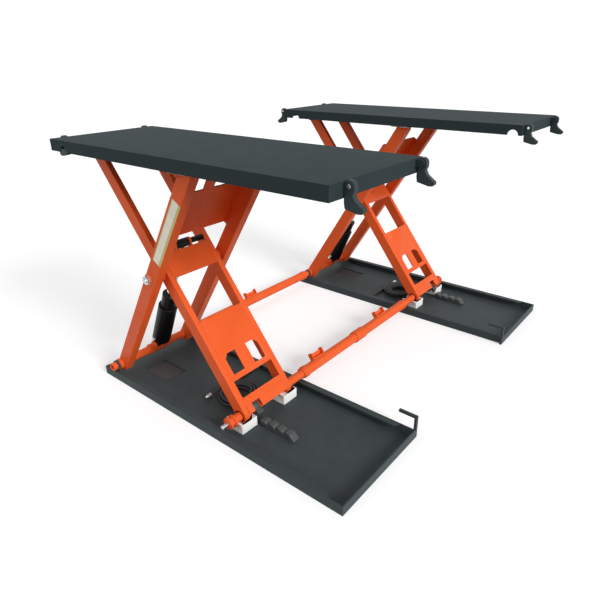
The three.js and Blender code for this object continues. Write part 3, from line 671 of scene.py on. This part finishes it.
def add_turned(mesh, origin, direction, profile, segments=SEGMENTS):
    """Adds a turned solid: profile is places along the axis with their radii."""
    side, up = square_to(direction)
    rings = []
    for along, radius in profile:
        centre = origin + direction * along
        if radius == 0:
            rings.append([mesh.verts.new(centre)])
        else:
            rings.append(ring_of(mesh, centre, side, up, radius, segments))
    if profile[0][1] > 0:
        rings.append(rings[0])
    for first, second in zip(rings, rings[1:]):
        join_rings(mesh, first, second)


def bar(start, end, radius):
    """Profile of a round bar with flat ends."""
    return [(start, 0), (start, radius), (end, radius), (end, 0)]


def collar(start, end, inner, outer):
    """Profile of a ring with small chamfers, from its inner to its outer radius."""
    return [
        (start, inner),
        (start, outer - CHAMFER),
        (start + CHAMFER, outer),
        (end - CHAMFER, outer),
        (end, outer - CHAMFER),
        (end, inner),
    ]


def arc(centre, radius, start, stop):
    """Points of an arc in an outline, angles in degrees."""
    points = []
    for i in range(ARC_STEPS + 1):
        angle = math.radians(start + (stop - start) * i / ARC_STEPS)
        points.append((centre[0] + radius * math.cos(angle), centre[1] + radius * math.sin(angle)))
    return points


def add_plate(mesh, outline, low, high, place):
    """Adds a plate from low to high across the unit, its outline put in place by the function."""
    first, second = ([mesh.verts.new(place(a, v, b)) for a, b in outline] for v in (low, high))
    join_rings(mesh, first, second)
    mesh.faces.new(first)
    mesh.faces.new(list(reversed(second)))


# Shafts and cross tubes


def base_shaft(unit):
    """Pivot shaft with its collars, hollow at the outer end."""
    profile = [(SHAFT_INNER_END, 0), (SHAFT_INNER_END, SHAFT_RADIUS)]
    for start, end in BASE_COLLARS:
        profile += collar(start, end, SHAFT_RADIUS, COLLAR_RADIUS)
    profile += [
        (SHAFT_OUTER_END - CHAMFER, SHAFT_RADIUS),
        (SHAFT_OUTER_END, SHAFT_RADIUS - CHAMFER),
        (SHAFT_OUTER_END, SHAFT_BORE + CHAMFER / 2),
        (SHAFT_OUTER_END - CHAMFER / 2, SHAFT_BORE),
        (HOLLOW_START, SHAFT_BORE),
        (HOLLOW_START, 0),
    ]
    mesh = bmesh.new()
    add_turned(mesh, unit.world(unit.base, 0), unit.outward, profile)
    node = unit.name("base_pivot_shaft")
    body = unit.name("outer_frame")
    add_piece(unit.name("base_shaft"), mesh, body, "orange_paint", TURNED_EDGE, (node,))


def lower_shaft(unit):
    """Shaft of the inner arms with its collars, and a shallow seat for the stub in its outer end."""
    profile = [(SHAFT_INNER_END, 0), (SHAFT_INNER_END, SHAFT_RADIUS)]
    for start, end in LOWER_COLLARS:
        profile += collar(start, end, SHAFT_RADIUS, COLLAR_RADIUS)
    profile += [
        (LOWER_SHAFT_END, SHAFT_RADIUS),
        (LOWER_SHAFT_END, STUB_RADIUS),
        (LOWER_SHAFT_END - CHAMFER, STUB_RADIUS),
        (LOWER_SHAFT_END - CHAMFER, 0),
    ]
    mesh = bmesh.new()
    add_turned(mesh, unit.world(unit.shaft, 0), unit.outward, profile)
    node = unit.name("lower_shaft")
    body = unit.name("inner_frame")
    add_piece(unit.name("sliding_shaft"), mesh, body, "orange_paint", TURNED_EDGE, (node,))


def shaft_stub(unit):
    """Bright end of the lower shaft."""
    start = LOWER_SHAFT_END - CHAMFER
    radius = STUB_RADIUS - CHAMFER / 3
    profile = [
        (start, 0),
        (start, radius),
        (STUB_END - CHAMFER, radius),
        (STUB_END, STUB_RADIUS - CHAMFER),
        (STUB_END, 0),
    ]
    mesh = bmesh.new()
    add_turned(mesh, unit.world(unit.shaft, 0), unit.outward, profile)
    add_piece(unit.name("shaft_stub"), mesh, unit.name("inner_frame"), "zinc_steel", STUB_EDGE)


def add_guide(mesh, axis, middle_y):
    """Adds a hose guide on a cross tube: a bent plate with an ear at each end, leaning back."""
    sine, cosine = math.sin(GUIDE_TILT), math.cos(GUIDE_TILT)

    def leaning(a, y, b):
        return Vector((axis.x + a * cosine - b * sine, y, axis.z + a * sine + b * cosine))

    depth = GUIDE_HALF_DEPTH
    web = GUIDE_PLATE - depth
    foot = TUBE_RADIUS - GUIDE_PLATE
    seat = TUBE_RADIUS + GUIDE_PLATE / 2
    top = TUBE_RADIUS + GUIDE_HEIGHT
    web_top = TUBE_RADIUS + GUIDE_WEB_HEIGHT
    saddle = [(-depth, foot), (depth, foot), (depth, seat)]
    saddle += [(web, seat), (web, web_top), (-depth, web_top)]
    ear = [(-depth, foot), (depth, foot), (depth, top), (-depth, top)]
    first, last = middle_y - GUIDE_HALF_LENGTH, middle_y + GUIDE_HALF_LENGTH
    add_plate(mesh, saddle, first + CHAMFER, last - CHAMFER, leaning)
    for edge in (first, last - GUIDE_PLATE):
        add_plate(mesh, ear, edge, edge + GUIDE_PLATE, leaning)


def cross_tube(name, axis, node, body, guides):
    """One of the two tubes between the units, with its end collars and bent hose guides."""
    start, end = TUBE_COLLAR
    profile = [(-TUBE_END, 0), (-TUBE_END, SHAFT_RADIUS), (-TUBE_SHOULDER, SHAFT_RADIUS)]
    profile.append((-TUBE_SHOULDER, TUBE_RADIUS))
    profile += collar(-end, -start, TUBE_RADIUS, TUBE_COLLAR_RADIUS)
    profile += collar(start, end, TUBE_RADIUS, TUBE_COLLAR_RADIUS)
    profile += [(TUBE_SHOULDER, TUBE_RADIUS), (TUBE_SHOULDER, SHAFT_RADIUS)]
    profile += [(TUBE_END, SHAFT_RADIUS), (TUBE_END, 0)]
    mesh = bmesh.new()
    add_turned(mesh, axis, ACROSS, profile)
    for guide in guides:
        add_guide(mesh, axis, guide)
    add_piece(name, mesh, body, "orange_paint", PLATE_EDGE, (node,))


def tube_sleeve(axis):
    """Shouldered sleeve in the middle of the front tube."""
    mesh = bmesh.new()
    profile = collar(-SLEEVE_HALF, SLEEVE_HALF, TUBE_RADIUS - CHAMFER, SLEEVE_RADIUS)
    add_turned(mesh, axis, ACROSS, profile)
    replaced = ("front_tube_sleeve",)
    add_piece("tube_sleeve", mesh, "left_inner_frame", "orange_paint", PLATE_EDGE, replaced)


# Hydraulic cylinder


def barrel(unit):
    """Barrel with its stepped gland, and the cross eye in its foot."""
    end = BARREL_LENGTH
    gland = end - GLAND_LENGTH
    lip = end - GLAND_LIP
    profile = [
        (FOOT_EYE_RADIUS / 2, 0),
        (FOOT_EYE_RADIUS / 2, FOOT_EYE_RADIUS - CHAMFER),
        (BARREL_START, FOOT_EYE_RADIUS - CHAMFER),
        (BARREL_START, BARREL_RADIUS - BARREL_EDGE),
        (BARREL_START + BARREL_EDGE, BARREL_RADIUS),
        (gland - CHAMFER, BARREL_RADIUS),
        (gland, BARREL_RADIUS - CHAMFER),
        (gland, GLAND_RADIUS - CHAMFER),
        (lip, GLAND_RADIUS - CHAMFER),
        (lip, GLAND_RADIUS),
        (end - CHAMFER, GLAND_RADIUS),
        (end, GLAND_RADIUS - CHAMFER),
        (end, ROD_BORE + CHAMFER),
        (end - CHAMFER, ROD_BORE),
        (BORE_START, ROD_BORE),
        (BORE_START, 0),
    ]
    foot = unit.world(unit.foot, 0)
    mesh = bmesh.new()
    add_turned(mesh, foot, unit.cylinder_axis, profile)
    eye = collar(-FOOT_EYE_HALF, FOOT_EYE_HALF, PIN_BORE, FOOT_EYE_RADIUS)
    add_turned(mesh, foot, unit.outward, eye)
    node = unit.name("cylinder_barrel")
    body = unit.name("barrel")
    add_piece(unit.name("barrel_shell"), mesh, body, "cylinder_paint", TURNED_EDGE, (node,))


def port_adaptor(unit):
    """Hexagon adaptor with a round neck on each side of the barrel."""
    start = BARREL_RADIUS - CHAMFER
    length = PORT_END - start
    hexagon = bar(start, start + length * PORT_HEXAGON_SHARE, PORT_RADIUS)
    neck_start = start + length * PORT_NECK_START_SHARE
    neck = [
        (neck_start, 0),
        (neck_start, PORT_RADIUS * PORT_NECK_SHARE),
        (PORT_END - CHAMFER, PORT_RADIUS * PORT_NECK_SHARE),
        (PORT_END, PORT_RADIUS * PORT_MOUTH_SHARE),
        (PORT_END, 0),
    ]
    origin = unit.world(unit.foot, 0) + unit.cylinder_axis * PORT_PLACE
    mesh = bmesh.new()
    for direction in (unit.outward, -unit.outward):
        add_turned(mesh, origin, direction, hexagon, HEXAGON)
        add_turned(mesh, origin, direction, neck)
    add_piece(unit.name("port_adaptor"), mesh, unit.name("barrel"), "zinc_steel", TURNED_EDGE)


def chromed_rod(unit):
    """Rod from inside the barrel to inside its eye."""
    start = BORE_START + unit.reach * ROD_INSIDE_SHARE
    end = unit.reach - ROD_RADIUS / 2
    mesh = bmesh.new()
    add_turned(mesh, unit.world(unit.foot, 0), unit.cylinder_axis, bar(start, end, ROD_RADIUS))
    node = unit.name("cylinder_rod")
    add_piece(unit.name("chromed_rod"), mesh, unit.name("rod"), "rod_chrome", TURNED_EDGE, (node,))


def rod_eye(unit):
    """Eye of the rod with its pin."""
    origin = unit.world(unit.eye, 0)
    mesh = bmesh.new()
    eye = collar(-ROD_EYE_HALF, ROD_EYE_HALF, PIN_RADIUS, ROD_RADIUS)
    add_turned(mesh, origin, unit.outward, eye)
    pin = bar(-ROD_PIN_HALF, ROD_PIN_HALF, PIN_RADIUS - CHAMFER / 2)
    add_turned(mesh, origin, unit.outward, pin)
    add_piece(unit.name("rod_eye"), mesh, unit.name("rod"), "cylinder_paint", TURNED_EDGE)


def head_bars(unit):
    """Round bars from beside the rod's eye to the inner arms."""
    mesh = bmesh.new()
    for sign in (1, -1):
        profile = bar(sign * HEAD_BAR_START, sign * PANEL_HALF, HEAD_BAR_RADIUS)
        add_turned(mesh, unit.world(unit.eye, 0), unit.outward, profile)
    add_piece(unit.name("head_bars"), mesh, unit.name("inner_frame"), "cylinder_paint", TURNED_EDGE)


# Scissor frames


def outer_arms(unit):
    """Slim arms with a boss at the centre pin and the pin that carries the upper slide pad."""
    low, high = OUTER_ARM_DEPTH
    radius, mid = (high - low) / 2, (high + low) / 2
    upper = OUTER_LOWER * UPPER_SHARE
    outline = arc((upper, mid), radius, -90, 90) + arc((-OUTER_LOWER, mid), radius, 90, 270)
    for label, sign in ARMS:
        near, far = (sign * v for v in OUTER_ARM)
        pin = bar(near, sign * TOP_PIN_END, TOP_PIN_RADIUS)
        boss = bar(near, far + sign * PIN_BOSS_HEIGHT, PIN_BOSS_RADIUS)
        mesh = bmesh.new()
        add_plate(mesh, outline, near, far, unit.on_outer)
        add_turned(mesh, unit.on_outer(upper, 0, 0), unit.outward, pin)
        add_turned(mesh, unit.on_outer(0, 0, 0), unit.outward, boss)
        node = unit.name(f"outer_arm_{label}")
        body = unit.name("outer_frame")
        add_piece(f"{node}_tube", mesh, body, "orange_paint", ARM_EDGE, (node,), ARM_EDGE_SEGMENTS)


def cross_plate(unit):
    """Tabbed plate over the outer arms, its side edges folded down onto them."""
    start, end = CROSS_PLATE_SPAN
    half, tab = CROSS_PLATE_HALF, CROSS_TAB_HALF
    level = PLATE_LEVEL + PLATE_GAP

    def lying(along, above, across):
        return unit.on_outer(along, across, above)

    outline = [
        (start, -half),
        (end, -half),
        (end, -tab),
        (CROSS_TAB_END, -tab),
        (CROSS_TAB_END, tab),
        (end, tab),
        (end, half),
        (start, half),
    ]
    mesh = bmesh.new()
    add_plate(mesh, outline, level, level + PLATE_THICKNESS, lying)
    foot = OUTER_ARM_DEPTH[1] - CHAMFER
    fold = [(start, foot), (end, foot), (end, level + CHAMFER), (start, level + CHAMFER)]
    for edge in (half, -half + PLATE_THICKNESS):
        add_plate(mesh, fold, edge - PLATE_THICKNESS, edge, unit.on_outer)
    node = unit.name("outer_cross_plate")
    body = unit.name("outer_frame")
    add_piece(unit.name("tabbed_plate"), mesh, body, "orange_paint", PLATE_EDGE, (node,))


def inner_arms(unit):
    """Slim arms with an eye on the lower shaft and a boss at the centre pin."""
    low, high = INNER_ARM_DEPTH
    radius, mid = (high - low) / 2, (high + low) / 2
    top = -INNER_LOWER * UPPER_SHARE
    outline = [(top - TOP_RADIUS, high)]
    outline += arc((top, 0), TOP_RADIUS, 180, 270)
    outline += arc((INNER_LOWER, mid), radius, -90, 90)
    for label, sign in ARMS:
        near, far = (sign * v for v in INNER_ARM)
        eye = bar(near, far, ARM_EYE_RADIUS)
        boss = bar(near, sign * (OUTER_ARM[0] - INNER_BOSS_GAP), INNER_BOSS_RADIUS)
        mesh = bmesh.new()
        add_plate(mesh, outline, near, far, unit.on_inner)
        add_turned(mesh, unit.on_inner(INNER_LOWER, 0, 0), unit.outward, eye)
        add_turned(mesh, unit.on_inner(0, 0, 0), unit.outward, boss)
        node = unit.name(f"inner_arm_{label}")
        body = unit.name("inner_frame")
        add_piece(f"{node}_tube", mesh, body, "orange_paint", ARM_EDGE, (node,), ARM_EDGE_SEGMENTS)


def inner_strip(unit, name, span, parts):
    """Plate in the plane of the inner frame's panel, in one or more parts across the unit."""
    start, end = span
    foot = PLATE_LEVEL - PLATE_THICKNESS
    outline = [(start, foot), (end, foot), (end, PLATE_LEVEL), (start, PLATE_LEVEL)]
    mesh = bmesh.new()
    for low, high in parts:
        add_plate(mesh, outline, low, high, unit.on_inner)
    add_piece(unit.name(name), mesh, unit.name("inner_frame"), "orange_paint", PLATE_EDGE)


def bead(name, body, start, end):
    """A weld bead with its ripples, painted over."""
    span = end - start
    side, up = square_to(span.normalized())
    steps = max(BEAD_LEAST_STEPS, round(span.length / BEAD_STEP) * 2)
    mesh = bmesh.new()
    rings = []
    for i in range(steps + 1):
        swell = 1 + BEAD_RIPPLE_SHARE * (1 if i % 2 else -1)
        taper = BEAD_END_SHARE if i in (0, steps) else 1
        centre = start + span * (i / steps)
        rings.append(ring_of(mesh, centre, side, up, BEAD_RADIUS * swell * taper, BEAD_SIDES))
    for first, second in zip(rings, rings[1:]):
        join_rings(mesh, first, second)
    mesh.faces.new(rings[0])
    mesh.faces.new(list(reversed(rings[-1])))
    piece = mesh_piece(name, mesh)
    smooth(piece)
    finish_piece(piece, body, "orange_paint")


def welds(unit):
    """Beads where the panel, the band and the cross plate meet the arms."""
    top = PLATE_LEVEL - BEAD_RADIUS / 2
    for label, sign in ARMS:
        for part, (start, end) in (("panel", PANEL_SPAN), ("band", BAND_SPAN)):
            first = unit.on_inner(start + BEAD_STEP, sign * PANEL_HALF, top)
            last = unit.on_inner(end - BEAD_STEP, sign * PANEL_HALF, top)
            bead(unit.name(f"weld_{part}_{label}"), unit.name("inner_frame"), first, last)
    for label, sign in ARMS:
        ends = (unit.on_outer(s, sign * CROSS_PLATE_HALF, OUTER_ARM_DEPTH[1]) for s in CROSS_PLATE_SPAN)
        bead(unit.name(f"weld_cross_{label}"), unit.name("outer_frame"), *ends)


def label_strip(unit):
    """Bare cream strip with olive edges on the outer arm."""
    first, last = LABEL_SPAN
    low, high = LABEL_ACROSS
    face = OUTER_ARM[1]
    for part, a, b, look in (
        ("rim", high - LABEL_RIM, high, "label_olive"),
        ("cream", low + LABEL_EDGE, high - LABEL_RIM, "label_cream"),
        ("olive", low, low + LABEL_EDGE, "label_olive"),
    ):
        outline = ((first, a), (last, a), (last, b), (first, b))
        mesh = bmesh.new()
        add_plate(mesh, outline, face - LABEL_THICKNESS, face + LABEL_THICKNESS, unit.on_outer)
        name = unit.name(f"label_{part}")
        add_piece(name, mesh, unit.name("outer_frame"), look, LABEL_THICKNESS / 3)


# Ramp lugs


def ramp_lug(unit, end, sign, node):
    """A hanging lug: a boss on the pin, a plate that widens to its stepped foot, and a bolt."""
    body = unit.name(f"{end}_ramp_lugs")
    place = partial(unit.beyond_deck, sign)
    v = unit.outward_place(node)
    half = LUG_THICKNESS / 2
    outline = arc(LUG_PIN, LUG_BOSS_RADIUS, 180, 360) + list(LUG_FOOT)
    plate = bmesh.new()
    add_plate(plate, outline, v - half, v + half, place)
    add_piece(f"{node}_plate", plate, body, "dark_steel", CHAMFER, (node,))
    out, drop = LUG_PIN
    face = half + LUG_BOLT_HEAD
    bolt = bmesh.new()
    add_turned(bolt, place(out, v, drop), unit.outward, bar(-face, face, LUG_BOLT_RADIUS))
    add_piece(f"{node}_bolt", bolt, body, "zinc_steel", PLATE_EDGE)


def ramp_lugs(unit):
    """Two lugs at each end of the platform."""
    for end, sign in (("front", 1), ("rear", -1)):
        for label in ("outer", "inner"):
            ramp_lug(unit, end, sign, unit.name(f"ramp_lug_{end}_{label}"))


# Hose


def eased(i, steps):
    """Share from 0 to 1 that starts and ends softly."""
    return (1 - math.cos(math.pi * i / steps)) / 2


def hose_route(unit):
    """Points of the hose's centre line, from the block on the rail to the coupling."""
    lower = TRAY_FLOOR + HOSE_RADIUS + HOSE_LIFT
    upper = lower + LAYER_RISE
    middle_x = unit.base.x + COIL_FROM_BASE
    line_x = middle_x - COIL_OUTER_RADIUS
    inner_radius = COIL_OUTER_RADIUS - COIL_PITCH * COIL_TURNS
    steps = round(COIL_TURNS * LOOP_STEPS)
    climb = LOOP_STEPS // 2
    fall = climb // 2
    points = []

    def add(x, v, z):
        points.append(unit.world(Vector((x, 0, z)), v))

    def wind(step, radius, z):
        angle = math.pi - step / LOOP_STEPS * 2 * math.pi
        add(middle_x + radius * math.cos(angle), COIL_OFFSET + radius * math.sin(angle), z)

    for i in range(STRAIGHT_STEPS):
        add(line_x, HOSE_START + (COIL_OFFSET - HOSE_START) * i / STRAIGHT_STEPS, lower)
    for i in range(steps + 1):
        wind(i, COIL_OUTER_RADIUS - COIL_PITCH * i / LOOP_STEPS, lower)
    for i in range(1, climb):
        wind(steps + i, inner_radius, lower + LAYER_RISE * eased(i, climb))
    for i in range(steps + 1):
        wind(steps + climb + i, inner_radius + COIL_PITCH * i / LOOP_STEPS, upper)
    for i in range(fall + 1):
        v = COIL_OFFSET + END_LEVEL_RUN + END_DROP_RUN * i / fall
        add(line_x, v, upper - (upper - COUPLING_AXIS) * eased(i, fall))
    add(line_x, COIL_OFFSET + END_LEVEL_RUN + END_DROP_RUN + 2 * HOSE_RADIUS, COUPLING_AXIS)
    return points


def hose(unit):
    """The coiled hose, a round curve along its route."""
    points = hose_route(unit)
    name = unit.name("coiled_hose")
    data = bpy.data.curves.new(name, "CURVE")
    data.dimensions = "3D"
    data.bevel_depth = HOSE_RADIUS
    data.bevel_resolution = HOSE_RINGS
    data.use_fill_caps = True
    spline = data.splines.new("POLY")
    spline.points.add(len(points) - 1)
    for spot, point in zip(spline.points, points):
        spot.co = (*point, 1)
    spline.use_smooth = True
    piece = bpy.data.objects.new(name, data)
    bpy.context.scene.collection.objects.link(piece)
    finish_piece(piece, "root", "hose_rubber", (unit.name("hose"),))
    coupling = frame["nodes"][unit.name("hose_coupling")]


# Nodes that stay


def dress_node(name, node):
    """Gives a node its material, clean flat faces and soft edges."""
    worn = name.endswith(("_lock_rack", "_lock_pawl"))
    sheet = name.endswith(("_base_tray", "_deck"))
    dress(node, "rack_steel" if worn else NODE_SLOTS[name])
    for face in node.data.polygons:
        face.material_index = 0
    node.modifiers.new("weld", "WELD").merge_threshold = WELD_DISTANCE
    plain = node.modifiers.new("plain", "DECIMATE")
    plain.decimate_type = "DISSOLVE"
    plain.angle_limit = FLAT_ANGLE
    if sheet:
        round_edges(node, SHEET_EDGE, SHEET_EDGE_SEGMENTS)
        node.modifiers.new("flat faces", "WEIGHTED_NORMAL").keep_sharp = True
    else:
        round_edges(node, NODE_EDGE, NODE_EDGE_SEGMENTS)


def dress_nodes():
    """Dresses the nodes that no piece stands for."""
    for name, node in frame["nodes"].items():
        if not node.hide_render:
            dress_node(name, node)


# Studio


def camera():
    """The photo's camera: yaw is from +X towards +Y, and pitch is downwards."""
    data = bpy.data.cameras.new("camera")
    data.sensor_width = SENSOR_WIDTH
    data.lens = FOCAL_PIXELS * SENSOR_WIDTH / PHOTO_WIDTH_PIXELS
    view = bpy.data.objects.new("camera", data)
    bpy.context.scene.collection.objects.link(view)
    yaw, pitch, roll = (math.radians(a) for a in (CAMERA_YAW, CAMERA_PITCH, CAMERA_ROLL))
    forward = Vector((
        math.cos(yaw) * math.cos(pitch),
        math.sin(yaw) * math.cos(pitch),
        -math.sin(pitch),
    ))
    right = forward.cross(Vector((0, 0, 1))).normalized()
    up = right.cross(forward)
    rolled_right = right * math.cos(roll) + up * math.sin(roll)
    rolled_up = up * math.cos(roll) - right * math.sin(roll)
    turn = Matrix((rolled_right, rolled_up, -forward)).transposed()
    view.matrix_world = Matrix.Translation(CAMERA_PLACE) @ turn.to_4x4()
    bpy.context.scene.camera = view


def lamp(name, direction, strength, angle):
    """A sun that shines in a direction, its angle in degrees."""
    data = bpy.data.lights.new(name, "SUN")
    data.energy = strength
    data.angle = math.radians(angle)
    sun = bpy.data.objects.new(name, data)
    bpy.context.scene.collection.objects.link(sun)
    sun.rotation_euler = Vector(direction).to_track_quat("-Z", "Y").to_euler()


def seen_rays(tree):
    """One for the rays that show the background: camera, glossy and transmission rays."""
    rays = tree.nodes.new("ShaderNodeLightPath").outputs
    seen = calculate(tree, "MAXIMUM", rays["Is Camera Ray"], rays["Is Glossy Ray"])
    return calculate(tree, "MAXIMUM", seen, rays["Is Transmission Ray"])


def floor_under_trays(tree):
    """One where a tray covers the floor and zero elsewhere: the trays are alike across y = 0."""
    low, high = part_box("right_base_tray")
    centre = (low + high) / 2
    half = (high - low) / 2
    place = split_place(tree)
    outward = calculate(tree, "ABSOLUTE", place["Y"])
    along = calculate(tree, "COMPARE", place["X"], centre.x, half.x - COVER_MARGIN)
    across = calculate(tree, "COMPARE", outward, centre.y, half.y - COVER_MARGIN)
    return calculate(tree, "MULTIPLY", along, across)


def floor_material():
    """White where it is seen, and plain concrete for the light it sends back and under the trays, where
    its colour is also darkened as painted shade.
    """
    material = bpy.data.materials.new("pale_floor")
    material.use_nodes = True
    tree = material.node_tree
    tree.nodes.clear()
    covered = floor_under_trays(tree)
    open_floor = calculate(tree, "SUBTRACT", 1, covered)
    seen = calculate(tree, "MULTIPLY", seen_rays(tree), open_floor)
    shade = spread(tree, seen, out_low=FLOOR_BOUNCE, out_high=FLOOR_SEEN)
    # Painted shade: the floor's colour under the trays is darkened to a share of itself
    painted_tray_shade = spread(tree, covered, out_low=1.0, out_high=TRAY_SHADE_SHARE)
    diffuse = tree.nodes.new("ShaderNodeBsdfDiffuse")
    feed(tree, diffuse.inputs["Color"], calculate(tree, "MULTIPLY", shade, painted_tray_shade))
    glow = tree.nodes.new("ShaderNodeEmission")
    feed(tree, glow.inputs["Color"], WHITE)
    feed(tree, glow.inputs["Strength"], calculate(tree, "MULTIPLY", seen, FLOOR_GLOW))
    both = tree.nodes.new("ShaderNodeAddShader")
    feed(tree, both.inputs[0], diffuse.outputs["BSDF"])
    feed(tree, both.inputs[1], glow.outputs["Emission"])
    result = tree.nodes.new("ShaderNodeOutputMaterial")
    feed(tree, result.inputs["Surface"], both.outputs["Shader"])
    return material


def floor():
    """Level floor just under the trays."""
    mesh = bmesh.new()
    bmesh.ops.create_grid(mesh, x_segments=2, y_segments=2, size=FLOOR_REACH)
    ground = mesh_piece("floor", mesh)
    ground.location.z = -FLOOR_DROP
    ground.data.materials.append(floor_material())


def world():
    """Even white surroundings, at full strength only for the rays that show them."""
    studio_world = bpy.data.worlds.new("studio")
    studio_world.use_nodes = True
    bpy.context.scene.world = studio_world
    tree = studio_world.node_tree
    tree.nodes.clear()
    background = tree.nodes.new("ShaderNodeBackground")
    feed(tree, background.inputs["Color"], WHITE)
    strength = spread(tree, seen_rays(tree), out_low=WORLD_AMBIENT, out_high=WORLD_SEEN)
    feed(tree, background.inputs["Strength"], strength)
    result = tree.nodes.new("ShaderNodeOutputWorld")
    feed(tree, result.inputs["Surface"], background.outputs["Background"])


def studio():
    """Everything around the lift, with colours shown as they are."""
    floor()
    world()
    for name, values in LAMPS.items():
        lamp(name, **values)
    bpy.context.scene.view_settings.view_transform = "Standard"


def build():
    """Makes the pieces of both units, the parts between them and the studio."""
    camera()
    units = [Unit(side, sign) for side, sign in SIDES]
    for unit in units:
        hose(unit)
    for unit in units:
        base_shaft(unit)
        lower_shaft(unit)
        shaft_stub(unit)
        barrel(unit)
        port_adaptor(unit)
        chromed_rod(unit)
        rod_eye(unit)
        head_bars(unit)
        outer_arms(unit)
        cross_plate(unit)
        inner_arms(unit)
        inner_strip(unit, "panel_apron", APRON_SPAN, APRON_PARTS)
        inner_strip(unit, "band_middle", BAND_MIDDLE_SPAN, BAND_MIDDLE_PARTS)
        ramp_lugs(unit)
        welds(unit)
        label_strip(unit)
    front, rear = units[0].shaft, units[0].base
    cross_tube("front_tube", front, "front_cross_tube", "left_inner_frame", FRONT_GUIDES)
    cross_tube("rear_tube", rear, "rear_cross_tube", "left_outer_frame", REAR_GUIDES)
    tube_sleeve(front)
    dress_nodes()
    studio()


build()
bpy.context.view_layer.update()
